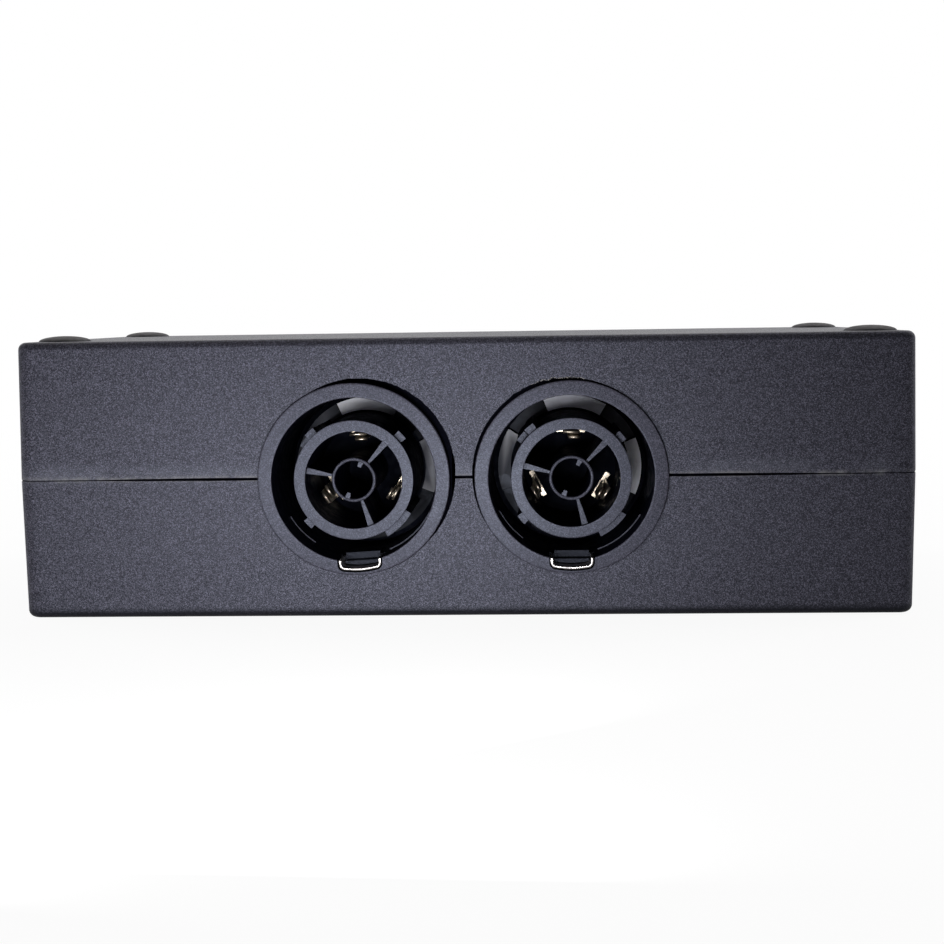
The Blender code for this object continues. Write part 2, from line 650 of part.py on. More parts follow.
def make_contact(angle):
    """A contact: a leaf folded back at its tip, and the tab that leaves the hub behind."""
    bend = CONTACT_BOW / 2
    path = [Vector((CONTACT_RADIUS - 1.2 * CONTACT_BOW, CONTACT_SETBACK + 2 * CONTACT_BOW))]
    path.append(Vector((CONTACT_RADIUS - 0.9 * CONTACT_BOW, CONTACT_SETBACK + bend)))
    path.append(Vector((CONTACT_RADIUS - 0.35 * CONTACT_BOW, CONTACT_SETBACK)))
    path.append(Vector((CONTACT_RADIUS, CONTACT_SETBACK + bend)))
    path.append(Vector((CONTACT_RADIUS, TAB_END)))
    mesh = bmesh.new()
    half = CONTACT_WIDTH / 2
    corners = [mesh.verts.new((r, d, -half)) for r, d in strip_outline(path, CONTACT_THICKNESS)]
    face = mesh.faces.new(corners)
    grown = bmesh.ops.extrude_face_region(mesh, geom=[face])["geom"]
    moved = [v for v in grown if isinstance(v, bmesh.types.BMVert)]
    bmesh.ops.translate(mesh, vec=(0.0, 0.0, CONTACT_WIDTH), verts=moved)
    return at_angle(object_from(mesh), angle)


def make_sleeve(angle):
    """An insulating sleeve shrunk over a tab and the ends of its wires."""
    thick = CONTACT_THICKNESS / 2 + SNUG_GAP + SLEEVE_WALL
    wide = CONTACT_WIDTH / 2 + SNUG_GAP + SLEEVE_WALL
    outline = [(CONTACT_RADIUS + x, z) for x, z in rounded_rectangle(thick, wide, thick * 0.95, 3)]
    sleeve = prism(outline, SLEEVE_START, SLEEVE_END)
    low = CONTACT_RADIUS - CONTACT_THICKNESS / 2 - SNUG_GAP
    high = CONTACT_RADIUS + CONTACT_THICKNESS / 2 + SNUG_GAP
    half = CONTACT_WIDTH / 2 + SNUG_GAP
    cut(sleeve, block((low, SLEEVE_START - WALL, -half), (high, TAB_END + SEAT_GAP, half)))
    return at_angle(sleeve, angle)


def connector_places():
    """Each connector's name with its place and its turn about the upright."""
    height = PARTING - AXIS_DROP
    front = FRONT - RING_PROUD
    return {
        "outlet_left": ((LEFT_X, front, height), 0.0),
        "outlet_right": ((RIGHT_X, front, height), 0.0),
        "inlet": ((-CASE_WIDTH / 2 - RING_PROUD, INLET_Y, height), -90.0),
    }


def connector_frame(name):
    """The matrix that takes a connector's own frame to its place in the case."""
    place, turn = connector_places()[name]
    return Matrix.Translation(place) @ Matrix.Rotation(radians(turn), 4, "Z")


def make_connectors(surfaces):
    """Three connectors of the same pieces, each under an empty on its axis."""
    for name, (place, turn) in connector_places().items():
        roll = ROLLS[name]
        pieces = {
            "barrel": (make_barrel(roll), surfaces["nylon"]),
            "insert": (at_angle(make_insert(), roll), surfaces["insert"]),
            "clip": (at_angle(make_clip(), roll), surfaces["steel"]),
            "keeper": (at_angle(make_keeper(), roll), surfaces["polished_steel"]),
        }
        for pole, angle in POLES.items():
            pieces[f"contact_{pole}"] = (make_contact(angle + roll), surfaces["brass"])
            pieces[f"sleeve_{pole}"] = (make_sleeve(angle + roll), surfaces["sleeve"])
        holder = bpy.data.objects.new(f"{name}_axis", None)
        holder.location = place
        holder.rotation_euler.z = radians(turn)
        bpy.context.scene.collection.objects.link(holder)
        for kind, (piece, surface) in pieces.items():
            finish(piece, f"{name}_{kind}", surface)
            piece.parent = holder


def wire_end(name, pole, side):
    """Where a wire meets a sleeve's end, and the way that it leaves."""
    angle = radians(POLES[pole] + ROLLS[name])
    across = side * WIRE_SPACING / 2
    x = CONTACT_RADIUS * cos(angle) - across * sin(angle)
    z = CONTACT_RADIUS * sin(angle) + across * cos(angle)
    frame = connector_frame(name)
    return frame @ Vector((x, WIRE_START, z)), (frame.to_3x3() @ Vector((0.0, 1.0, 0.0)))


def bezier(points, position):
    """A point of a cubic curve, at a position from 0 to 1."""
    rest = 1.0 - position
    first, second, third, last = points
    return (
        first * rest**3
        + second * 3 * rest**2 * position
        + third * 3 * rest * position**2
        + last * position**3
    )


def route(start, away, end, back, swings):
    """A smooth route between two sleeves: a straight stub at each end, and a cubic curve between."""
    stub = 2 * WIRE_RADIUS
    leave, arrive = start + away * stub, end + back * stub
    handles = [leave, leave + swings[0], arrive + swings[1], arrive]
    length = sum((b - a).length for a, b in zip(handles, handles[1:]))
    count = max(5, ceil(length / (5 * WIRE_RADIUS)))
    return [start] + [bezier(handles, index / count) for index in range(count + 1)] + [end]


def make_wire(name, points, surface):
    """A wire along a route, as a round tube with closed ends."""
    curve = bpy.data.curves.new(name, "CURVE")
    curve.dimensions = "3D"
    curve.bevel_depth = WIRE_RADIUS
    curve.bevel_resolution = 2
    curve.use_fill_caps = True
    spline = curve.splines.new("POLY")
    spline.points.add(len(points) - 1)
    for control, point in zip(spline.points, points):
        control.co = (*point, 1.0)
    curve.materials.append(surface)
    bpy.context.scene.collection.objects.link(bpy.data.objects.new(name, curve))


def swing(direction, reach):
    """How a wire sets off from a sleeve: along the sleeve, and up or down."""
    out, lift = reach
    return direction * out + Vector((0.0, 0.0, lift))


def make_wires(surfaces):
    """Supply wires from the inlet to the left outlet, and links from there to the right outlet."""
    for pole in POLES:
        supply_side = copysign(1.0, sin(radians(POLES[pole])))
        start, away = wire_end("inlet", pole, 0.0)
        end, back = wire_end("outlet_left", pole, supply_side)
        first, last = SUPPLY_REACH[pole]
        supply = route(start, away, end, back, (swing(away, first), swing(back, last)))
        make_wire(f"supply_wire_{pole}", supply, surfaces[f"wire_{pole}"])
        start, away = wire_end("outlet_left", pole, -supply_side)
        end, back = wire_end("outlet_right", pole, 0.0)
        reach = LINK_REACH[pole]
        link = route(start, away, end, back, (swing(away, reach), swing(back, reach)))
        make_wire(f"link_wire_{pole}", link, surfaces[f"wire_{pole}"])


def main():
    for old in list(bpy.data.objects):
        bpy.data.objects.remove(old)
    surfaces = {
        "shell": material("case_plastic", (0.075, 0.076, 0.095), 0.62),
        "nylon": material("barrel_nylon", (0.085, 0.087, 0.105), 0.42),
        "insert": material("insert_nylon", (0.110, 0.114, 0.135), 0.40),
        "steel": material("clip_steel", (0.45, 0.45, 0.46), 0.35, 1.0),
        "polished_steel": material("keeper_steel", (0.70, 0.69, 0.70), 0.16, 1.0),
        "screw": material("screw_steel", (0.32, 0.32, 0.33), 0.32, 1.0),
        "brass": material("contact_brass", (0.68, 0.52, 0.24), 0.28, 1.0),
        "rubber": material("foot_rubber", (0.045, 0.045, 0.048), 0.75),
        "sleeve": material("sleeve_plastic", (0.03, 0.03, 0.032), 0.55),
        "wire_line": material("line_wire", (0.16, 0.06, 0.03), 0.45),
        "wire_neutral": material("neutral_wire", (0.04, 0.14, 0.42), 0.45),
        "wire_earth": material("earth_wire", (0.10, 0.36, 0.07), 0.45),
    }
    make_upper_shell(surfaces["shell"])
    make_lower_shell(surfaces["shell"])
    make_feet(surfaces["rubber"])
    make_case_screws(surfaces["screw"])
    make_connectors(surfaces)
    make_wires(surfaces)


main()
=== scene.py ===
"""The power distribution box, dressed: finer case halves and connectors, finishes, light and camera.

Metres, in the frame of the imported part. A connector's own frame has its axis along Y, with depth
counted inwards from the face of its ring, and the sizes are the ones of the part's source.
"""

from math import atan2, ceil, cos, degrees, hypot, pi, radians, sin, sqrt

import bmesh
import bpy
from mathutils import Matrix, Vector, noise


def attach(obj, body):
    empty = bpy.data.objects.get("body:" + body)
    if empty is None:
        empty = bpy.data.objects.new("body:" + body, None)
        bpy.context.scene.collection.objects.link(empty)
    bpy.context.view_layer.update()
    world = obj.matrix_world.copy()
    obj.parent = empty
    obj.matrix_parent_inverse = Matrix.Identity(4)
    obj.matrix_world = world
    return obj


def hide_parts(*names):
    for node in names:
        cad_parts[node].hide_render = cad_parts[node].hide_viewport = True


# Case
CASE_WIDTH = 0.1200
CASE_DEPTH = 0.0600
LOWER_HEIGHT = 0.0188
UPPER_HEIGHT = 0.0186
WALL = 0.0022
FACE_THICKNESS = 0.0022
DRAFT = 0.0112
CORNER_RADIUS = 0.0020
EDGE_RADIUS = 0.0010
SIDE_START = 0.0012
PARTING_GAP = 0.0003
PARTING_ROUND = 0.00012
LIP_THICKNESS = 0.0009
LIP_HEIGHT = 0.0014
SEAT_GAP = 0.0003
SNUG_GAP = 0.00015
RIB_WALL = 0.0015

# Parting gap: how far from the middle it is open, how it closes from there, and how it wanders
GAP_OPEN_TO = 0.036
GAP_FADE = 0.014
GAP_SHUT = 0.80
GAP_BEHIND = 0.6
GAP_WANDER = 0.00004
WANDER_SCALE = 260.0
WANDER_LEVEL = 3.1

# Posts and feet
POST_FROM_SIDE = 0.0051
POST_FROM_FRONT = 0.0070
POST_WALL = 0.0012
SCREW_SEAT_HEIGHT = 0.0060
SCREW_HEAD_RADIUS = 0.0026
SCREW_RADIUS = 0.00145
SCREW_BITE = 0.0080
FOOT_RADIUS = 0.0035
FOOT_DOME = 0.00075
FOOT_RIM = 0.0002
FOOT_SPIGOT = 0.0022
FOOT_ROUND = 0.00012
FOOT_STEPS = 12

# Connector barrel
BORE_RADIUS = 0.0110
RING_WALL = 0.00185
BODY_WALL = 0.0010
RING_PROUD = 0.0005
RING_ROUND = 0.00012
RING_SHOWN = 0.0006
FLANGE_MARGIN = 0.00015
FLANGE_CLEARANCE = 0.0009
FLANGE_THICKNESS = 0.0020
FLANGE_CORNER = 0.0025
FLANGE_GAP = 0.0030
FLANGE_HOLE_RADIUS = 0.0016
FLANGE_HOLE_MARGIN = 0.0034
BORE_DEPTH = 0.0202
BORE_DROP = 0.0001
FLOOR_THICKNESS = 0.0015
FLOOR_LEDGE = 0.0023
STEP_HEIGHT = 0.00015
STEP_SETBACK = 0.0057
STEP_LENGTH = 0.0070
RING_DROP = 0.00015
WALL_STEPS = ((207.0, 233.0), (-71.0, -31.0))

# Connector insert
PLUG_GAP = 0.0030
INSERT_WALL = 0.0015
INSERT_SETBACK = 0.00015
INSERT_ROUND = 0.00007
BASE_THICKNESS = 0.0015
LAND_RISE = 0.0014
LAND_INSIDE = 0.0004
LAND_OUTSIDE = 0.0022
HOLLOW_RISE = 0.0001
SECTOR_FLOOR = 0.0028
HUB_LENGTH = 0.0015
TUBE_BORE = 0.00255
TUBE_WALL = 0.00042
TUBE_SETBACK = 0.0004
RIB_SETBACK = 0.0011
RIB_THICK = 0.00085
RIB_THIN = 0.00030
LUG_HEIGHT = 0.00085
LUG_WIDTH = 0.0013
LUG_SETBACK = 0.0012
LUG_STEP = (136.0, 146.0, 0.0007, 0.0032)
TOOTH_HEIGHT = 0.0007
CLIP_GROOVE = 0.0005
CLIP_THICKNESS = 0.0008
FIRST_RIB = 45.6
LUG_ANGLES = (129.5, 39.0, 220.0)
LONG_LUG = (-64.0, -35.0)
TOOTH_ANGLES = (63.0, 246.0)
LANDS = ((-24.0, 23.0), (59.0, 111.0), (148.0, 199.0), (237.0, 287.0))
HOLLOWS = ((24.0, 58.0), (112.0, 147.0), (200.0, 236.0), (288.0, 335.0))

# Painted highlights and painted shade on the glossy lands: an angle and how pale it is there
PAINTED_LAND_LIGHT = {
    "outlet_left": (
        (-60, 0.02), (-45, 0.04), (-25, 0.01), (-24, 0.25), (-10, 0.10), (8, 0.08), (23, 0.25),
        (24, 0.01), (58, 0.01), (59, 0.05), (75, 0.40), (90, 1.00), (111, 1.00), (112, 0.06),
        (128, 0.16), (147, 0.02), (148, 0.10), (199, 0.06), (237, 0.01),
    ),
    "outlet_right": (
        (-60, 0.01), (-25, 0.03), (-24, 0.90), (0, 1.00), (23, 1.00), (24, 0.04), (42, 0.20),
        (58, 0.06), (59, 1.00), (111, 1.00), (112, 0.04), (130, 0.08), (147, 0.03),
        (148, 0.34), (160, 0.11), (199, 0.08), (200, 0.03), (215, 0.04), (237, 0.01),
    ),
    "inlet": ((0, 0.40), (90, 0.60), (180, 0.30), (270, 0.40)),
}

# Latch keeper
KEEPER_WIDTH = 0.00575
KEEPER_THICKNESS = 0.0004
KEEPER_FROM_EDGE = 0.0006
KEEPER_CORNER = 0.0008
KEEPER_ROUND = 0.00012
KEEPER_SEGMENTS = 3
KEEPER_SHARP = 40.0
LEDGE_SETBACK = 0.0026
LEDGE_STEP = 0.0020
LEDGE_RISE = 0.0007
LEDGE_LENGTH = 0.0034

# Contacts
FIRST_POLE = 88.0
CONTACT_RADIUS = 0.0052
CONTACT_WIDTH = 0.0040
CONTACT_THICKNESS = 0.0007
TAB_LENGTH = 0.0050
LEAF_THICKNESS = 0.00020
LEAF_ROOT = 0.0010
LEAF_STAND = 0.00018
LEAF_MOUTH = 0.0014
LEAF_ROLL = 0.00013
LEAF_TURN = 215.0
LEAF_STEPS = 9
LEAF_BOW = 0.00035
LEAF_TIP = 0.93
LEAF_COLUMNS = (-1.0, -0.6, -0.2, 0.2, 0.6, 1.0)

# Leaves of a contact: side, radius of the mouth, setback, half width and shift along the slot
LEAVES = ((1, 0.00562, 0.0070, 0.00106, 0.00010), (-1, 0.00488, 0.0076, 0.00090, -0.00036))

# Sizes that follow from the ones above
PARTING = LOWER_HEIGHT
TOP = PARTING + UPPER_HEIGHT
AXIS_DROP = RING_DROP + BORE_DROP
RING_RADIUS = BORE_RADIUS + RING_WALL
BODY_RADIUS = BORE_RADIUS + BODY_WALL
FLANGE_WIDTH = 2 * (RING_RADIUS + FLANGE_MARGIN)
FLANGE_TOP = UPPER_HEIGHT - FACE_THICKNESS - FLANGE_CLEARANCE
FLANGE_BOTTOM = LOWER_HEIGHT - FACE_THICKNESS - FLANGE_CLEARANCE
FLANGE_FRONT = RING_PROUD + WALL + DRAFT * max(FLANGE_TOP, FLANGE_BOTTOM) + SEAT_GAP
FLANGE_BACK = FLANGE_FRONT + FLANGE_THICKNESS
PITCH = FLANGE_WIDTH + FLANGE_GAP
BODY_END = BORE_DEPTH + FLOOR_THICKNESS
FLOOR_HOLE = BORE_RADIUS - FLOOR_LEDGE
BASE_BACK = BORE_DEPTH - SEAT_GAP
BASE_FRONT = BASE_BACK - BASE_THICKNESS
SECTOR_END = BASE_BACK - SECTOR_FLOOR
INSERT_RADIUS = BORE_RADIUS - PLUG_GAP
SECTOR_RADIUS = INSERT_RADIUS - INSERT_WALL
TUBE_RADIUS = TUBE_BORE + TUBE_WALL
HUB_RADIUS = FLOOR_HOLE - SEAT_GAP
HUB_END = BODY_END + 2 * SEAT_GAP + CLIP_THICKNESS + HUB_LENGTH / 2
TAB_END = HUB_END + TAB_LENGTH
NOTCH_END = FLANGE_BACK - SEAT_GAP
NOTCH_REACH = BORE_RADIUS * 0.9
LIP_INSIDE = WALL - SNUG_GAP
LIP_OUTSIDE = LIP_INSIDE - LIP_THICKNESS
COUNTERBORE = SCREW_HEAD_RADIUS + SEAT_GAP
POST_RADIUS = COUNTERBORE + POST_WALL
POST_X = CASE_WIDTH / 2 - POST_FROM_SIDE
POST_Y = CASE_DEPTH / 2 - POST_FROM_FRONT
POSTS = [(x, y) for y in (-POST_Y, POST_Y) for x in (-POST_X, POST_X)]
INLET_Y = 0.0035
FRONT = -CASE_DEPTH / 2
CONNECTORS = {
    "outlet_left": ((-PITCH / 2, FRONT - RING_PROUD, PARTING - AXIS_DROP), 0.0, 3.3),
    "outlet_right": ((PITCH / 2, FRONT - RING_PROUD, PARTING - AXIS_DROP), 0.0, 0.0),
    "inlet": ((-CASE_WIDTH / 2 - RING_PROUD, INLET_Y, PARTING - AXIS_DROP), -90.0, 0.0),
}

# Hand-cut openings: the hairline all round, then the wide side's middle, half width and extra gap,
# and the stretches with a chipped edge: from, to and how rough
CUTOUTS = {
    "outlet_left": (0.00008, (38.0, 79.0, 0.00090), ((0.0, 112.0, 0.00009), (-45.0, 0.0, 0.00003))),
    "outlet_right": (0.00007, (133.0, 77.0, 0.00040), ((84.0, 128.0, 0.00018), (140.0, 215.0, 0.00005))),
    "inlet": (0.00010, (70.0, 90.0, 0.00022), ((30.0, 100.0, 0.00006),)),
}
CHIP_SCALES = (14.0, 37.0)
FINE_CHIPS = 0.7
CHIP_BIAS = 0.25

# How finely round forms are faceted, where the walls of the openings are, how deep joined pieces
# overlap, and how far flat faces go on past a rounded edge
TURN_STEPS = 144
SMALL_STEPS = 40
CORNER_STEPS = 8
CUT_STEPS = 360
FOOT_TURN_STEPS = 64
CUT_REACH = 0.0016
CUT_DEPTH = 0.0035
EDGE_SPACING = 0.0012
EMBED = 0.0002
FLAT_FROM = 2.5
EDGE_FLAT_FROM = 1.3
WELD = 1e-6
SEED = 7

# Below these angles in degrees, edges are shaded smooth
SMOOTH_CASE = 28.0
SMOOTH_FOOT = 50.0
SMOOTH_CONNECTOR = 30.0
SMOOTH_CONTACT = 40.0

# Limits on a face's normal: frontwards, somewhat frontwards, along a wall, and level
FACES_FRONT = -0.8
FACES_OUT = -0.3
SIDEWAYS = 0.5
LEVEL_FACE = 0.8

# Shared points, a rectangle's corners with the angles they start at, and the poles
ORIGIN = (0.0, 0.0)
CENTRE = (0.0, 0.0, 0.0)
QUARTERS = ((1, 1, 0.0), (-1, 1, 90.0), (-1, -1, 180.0), (1, -1, 270.0))
POLES = 3
POLE_PITCH = 360.0 / POLES


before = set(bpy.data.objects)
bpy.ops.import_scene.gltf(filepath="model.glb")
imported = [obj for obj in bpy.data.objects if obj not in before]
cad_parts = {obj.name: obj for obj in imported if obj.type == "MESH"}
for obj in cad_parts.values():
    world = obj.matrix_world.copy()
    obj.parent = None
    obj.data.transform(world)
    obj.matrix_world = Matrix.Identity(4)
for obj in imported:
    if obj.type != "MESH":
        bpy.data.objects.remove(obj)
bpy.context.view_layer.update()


# Mesh tools


def object_from(mesh, name="tool"):
    """An object holding a bmesh, with its faces turned outwards."""
    bmesh.ops.recalc_face_normals(mesh, faces=mesh.faces)
    data = bpy.data.meshes.new(name)
    mesh.to_mesh(data)
    mesh.free()
    return linked(bpy.data.objects.new(name, data))


def linked(made):
    """Puts an object into the scene."""
    bpy.context.scene.collection.objects.link(made)
    return made


def applied(piece):
    """Turns a piece and its modifiers into a plain mesh, and takes the modifiers off."""
    graph = bpy.context.evaluated_depsgraph_get()
    result = bpy.data.meshes.new_from_object(piece.evaluated_get(graph), depsgraph=graph)
    piece.modifiers.clear()
    piece.data = result
    return piece


def boolean(body, tool, operation):
    """Cuts a tool out of a body, or joins it on, and welds points that rounding has split."""
    modifier = body.modifiers.new("Boolean", "BOOLEAN")
    modifier.operation = operation
    modifier.solver = "EXACT"
    modifier.object = tool
    applied(body)
    bpy.data.objects.remove(tool)
    mesh = bmesh.new()
    mesh.from_mesh(body.data)
    bmesh.ops.remove_doubles(mesh, verts=mesh.verts, dist=WELD)
    bmesh.ops.dissolve_degenerate(mesh, edges=mesh.edges, dist=WELD)
    mesh.to_mesh(body.data)
    mesh.free()


def cut(body, *tools):
    for tool in tools:
        boolean(body, tool, "DIFFERENCE")


def join(body, *tools):
    for tool in tools:
        boolean(body, tool, "UNION")


def bevelled(piece, width, segments, angle):
    """Rounds a piece's sharp edges."""
    modifier = piece.modifiers.new("Bevel", "BEVEL")
    modifier.width = width
    modifier.segments = segments
    modifier.limit_method = "ANGLE"
    modifier.angle_limit = radians(angle)
    modifier.use_clamp_overlap = True
    return applied(piece)


def smoothed(piece, angle):
    """Shades a piece's round faces smooth and keeps its edges."""
    piece.data.shade_smooth()
    piece.data.set_sharp_from_angle(angle=radians(angle))
    return piece


def lifted(point, height, axis):
    """A point of an outline at a height along an axis: (x, z) across Y, or (x, y) across Z."""
    return (point[0], height, point[1]) if axis == "Y" else (point[0], point[1], height)


def turned(outline, axis="Y", steps=TURN_STEPS):
    """A closed outline of (radius, height) points spun once round an axis."""
    mesh = bmesh.new()
    corners = [mesh.verts.new(lifted((radius, 0.0), height, axis)) for radius, height in outline]
    geom = list(corners)
    for corner, following in zip(corners, corners[1:] + corners[:1]):
        if corner.co.x > 0.0 or following.co.x > 0.0:
            geom.append(mesh.edges.new((corner, following)))
    way = lifted(ORIGIN, 1.0, axis)
    bmesh.ops.spin(mesh, geom=geom, cent=CENTRE, axis=way, angle=2 * pi, steps=steps, use_merge=True)
    bmesh.ops.remove_doubles(mesh, verts=mesh.verts, dist=WELD / 10)
    return object_from(mesh)


def prism(outline, start, end, axis="Y"):
    """An outline extruded along an axis."""
    mesh = bmesh.new()
    face = mesh.faces.new([mesh.verts.new(lifted(point, start, axis)) for point in outline])
    grown = bmesh.ops.extrude_face_region(mesh, geom=[face])["geom"]
    moved = [part for part in grown if isinstance(part, bmesh.types.BMVert)]
    bmesh.ops.translate(mesh, vec=lifted(ORIGIN, end - start, axis), verts=moved)
    return object_from(mesh)


def block(low, high):
    """A box between two corners."""
    outline = [(low[0], low[1]), (high[0], low[1]), (high[0], high[1]), (low[0], high[1])]
    return prism(outline, low[2], high[2], "Z")


def rod(radius, start, end, centre=ORIGIN, axis="Y", steps=SMALL_STEPS):
    """A round rod along an axis, about a centre in the plane across it."""
    made = turned([(0.0, start), (radius, start), (radius, end), (0.0, end)], axis, steps)
    made.data.transform(Matrix.Translation(lifted(centre, 0.0, axis)))
    return made


def rounded_corner(x, y, radius, first, last, steps=4):
    """Points round a corner of an outline, about its centre, between two angles in degrees."""
    angles = [radians(first + (last - first) * step / steps) for step in range(steps + 1)]
    return [(x + radius * cos(angle), y + radius * sin(angle)) for angle in angles]


def four_corners(half_x, half_y, radius, steps=4, middle=0.0):
    """Points round each corner of a rectangle, with their centres this far from its middle."""
    return [
        rounded_corner(side_x * half_x, side_y * half_y + middle, radius, first, first + 90.0, steps)
        for side_x, side_y, first in QUARTERS
    ]


def arc(radius, start, end, step=3.0):
    """Points on a circle between two angles in degrees."""
    return rounded_corner(*ORIGIN, radius, start, end, max(1, ceil(abs(end - start) / step)))


def sector(inner, outer, start, end, front, back):
    """A piece of a ring between two radii, two angles and two depths."""
    return prism(arc(outer, start, end) + arc(inner, end, start), front, back)


def lofted(levels):
    """A closed body through loops with the same number of points."""
    mesh = bmesh.new()
    loops = [[mesh.verts.new(point) for point in level] for level in levels]
    mesh.faces.new(loops[0])
    mesh.faces.new(loops[-1])
    for low, high in zip(loops, loops[1:]):
        for index, corner in enumerate(low):
            following = (index + 1) % len(low)
            mesh.faces.new((corner, low[following], high[following], high[index]))
    return object_from(mesh)


def at_angle(piece, angle):
    """Turns a piece made along +X to an angle round the connector's axis."""
    piece.data.transform(Matrix.Rotation(radians(-angle), 4, "Y"))
    return piece


# Node trees


SOCKET_KINDS = {
    "Geometry": "NodeSocketGeometry",
    "Piece": "NodeSocketObject",
    "Finish": "NodeSocketMaterial",
    "Count": "NodeSocketInt",
    "Seed": "NodeSocketInt",
}


def new_tree(name, kind, inputs, outputs):
    """An empty tree with named inputs and outputs, its input node's sockets and its output node."""
    tree = bpy.data.node_groups.new(name, kind)
    for in_out, labels in (("INPUT", inputs), ("OUTPUT", outputs)):
        for label in labels:
            sort = SOCKET_KINDS.get(label, "NodeSocketFloat")
            socket = tree.interface.new_socket(label, in_out=in_out, socket_type=sort)
            if in_out == "INPUT" and inputs[label] is not None:
                socket.default_value = inputs[label]
    return tree, tree.nodes.new("NodeGroupInput").outputs, tree.nodes.new("NodeGroupOutput")


def feed(tree, made, feeds):
    """Feeds a node's inputs, by name or number, with sockets or plain values."""
    for label, value in feeds.items():
        if isinstance(value, bpy.types.NodeSocket):
            tree.links.new(value, made.inputs[label])
        else:
            made.inputs[label].default_value = value
    return made


def add(tree, kind, feeds=None, **settings):
    """Adds a node with its settings, and feeds its inputs."""
    made = tree.nodes.new(kind)
    for label, value in settings.items():
        setattr(made, label, value)
    return feed(tree, made, feeds or {})


def calc(operation, *values):
    """The result of a Math node fed by numbers and by at least one socket, in that socket's tree."""
    tree = next(value.id_data for value in values if isinstance(value, bpy.types.NodeSocket))
    return add(tree, "ShaderNodeMath", dict(enumerate(values)), operation=operation).outputs[0]


def finish_tree(tree, given, result, feeds):
    """Ends a tree with copies on points, which are made real and get the tree's finish."""
    copies = add(tree, "GeometryNodeInstanceOnPoints", feeds).outputs[0]
    real = add(tree, "GeometryNodeRealizeInstances", {0: copies}).outputs[0]
    surface = add(tree, "GeometryNodeSetMaterial", {"Geometry": real, "Material": given["Finish"]})
    feed(tree, result, {0: surface.outputs[0]})
    return tree


def run_tree(tree, name, values, start=None):
    """A plain mesh object from a tree, with its inputs set by their sockets' identifiers."""
    piece = linked(bpy.data.objects.new(name, start or bpy.data.meshes.new(name)))
    modifier = piece.modifiers.new("Nodes", "NODES")
    modifier.node_group = tree
    for socket in tree.interface.items_tree:
        if socket.in_out == "INPUT" and socket.name in values:
            modifier[socket.identifier] = values[socket.name]
    applied(piece)
    if "Piece" in values:
        bpy.data.objects.remove(values["Piece"])
    return piece


def spun_copies_tree():
    """Copies of a piece at even angles round the connector's axis."""
    inputs = {"Geometry": None, "Piece": None, "Count": POLES, "First angle": 0.0, "Finish": None}
    tree, given, result = new_tree("copies_round_the_axis", "GeometryNodeTree", inputs, ("Geometry",))
    line = add(tree, "GeometryNodeMeshLine", {"Offset": (0.0, 0.0, 0.0), "Count": given["Count"]})
    piece = add(tree, "GeometryNodeObjectInfo", {"Object": given["Piece"]}).outputs["Geometry"]
    index = add(tree, "GeometryNodeInputIndex").outputs[0]
    turn = calc("DIVIDE", 2 * pi, given["Count"])
    angle = calc("MULTIPLY_ADD", index, turn, given["First angle"])
    rotation = add(tree, "ShaderNodeCombineXYZ", {"Y": calc("MULTIPLY", angle, -1.0)}).outputs[0]
    feeds = {"Points": line.outputs[0], "Instance": piece, "Rotation": rotation}
    return finish_tree(tree, given, result, feeds)


def copies_at_points_tree():
    """Copies of a piece at the points of a mesh."""
    inputs = {"Geometry": None, "Piece": None, "Finish": None}
    tree, given, result = new_tree("copies_at_points", "GeometryNodeTree", inputs, ("Geometry",))
    piece = add(tree, "GeometryNodeObjectInfo", {"Object": given["Piece"]}).outputs["Geometry"]
    return finish_tree(tree, given, result, {"Points": given["Geometry"], "Instance": piece})


def crumbs_tree():
    """Small burrs of torn plastic, scattered with a fixed seed along the edge of a hand-cut opening."""
    inputs = {"Geometry": None, "Spacing": 0.00011, "Smallest": 0.00003, "Largest": 0.00011}
    inputs.update({"Scatter": 0.00006, "Seed": SEED, "Finish": None})
    tree, given, result = new_tree("burrs_along_an_edge", "GeometryNodeTree", inputs, ("Geometry",))
    curve = add(tree, "GeometryNodeMeshToCurve", {"Mesh": given["Geometry"]}).outputs[0]
    feeds = {"Curve": curve, "Length": given["Spacing"]}
    spread = add(tree, "GeometryNodeResampleCurve", feeds, mode="LENGTH").outputs[0]
    points = add(tree, "GeometryNodeCurveToPoints", {"Curve": spread}, mode="EVALUATED").outputs[0]

    def drawn(kind, low, high, offset):
        """A random value with a draw of its own from the tree's seed."""
        seed = calc("ADD", given["Seed"], offset)
        value = add(tree, "FunctionNodeRandomValue", {"Seed": seed}, data_type=kind)
        ends = [n for n, end in enumerate(value.inputs) if end.enabled and end.name in ("Min", "Max")]
        feed(tree, value, dict(zip(ends, (low, high))))
        return [end for end in value.outputs if end.enabled][0]

    def drawn_vector(low, high, offset):
        return drawn("FLOAT_VECTOR", (low,) * 3, (high,) * 3, offset)

    def scaled(vector, scale):
        return add(tree, "ShaderNodeVectorMath", {0: vector, "Scale": scale}, operation="SCALE").outputs[0]

    drift = scaled(drawn_vector(-1.0, 1.0, 1), given["Scatter"])
    moved = add(tree, "GeometryNodeSetPosition", {"Geometry": points, "Offset": drift}).outputs[0]
    grain = add(tree, "GeometryNodeMeshIcoSphere", {"Radius": 1.0, "Subdivisions": 1}).outputs["Mesh"]
    turn = drawn_vector(0.0, 6.3, 2)
    size = drawn("FLOAT", given["Smallest"], given["Largest"], 3)
    stretch = scaled(drawn_vector(0.4, 1.0, 4), size)
    feeds = {"Points": moved, "Instance": grain, "Rotation": turn, "Scale": stretch}
    return finish_tree(tree, given, result, feeds)


# Materials


COOL_GLARE = (0.72, 0.80, 1.0, 1.0)
WHITE = (1.0, 1.0, 1.0, 1.0)
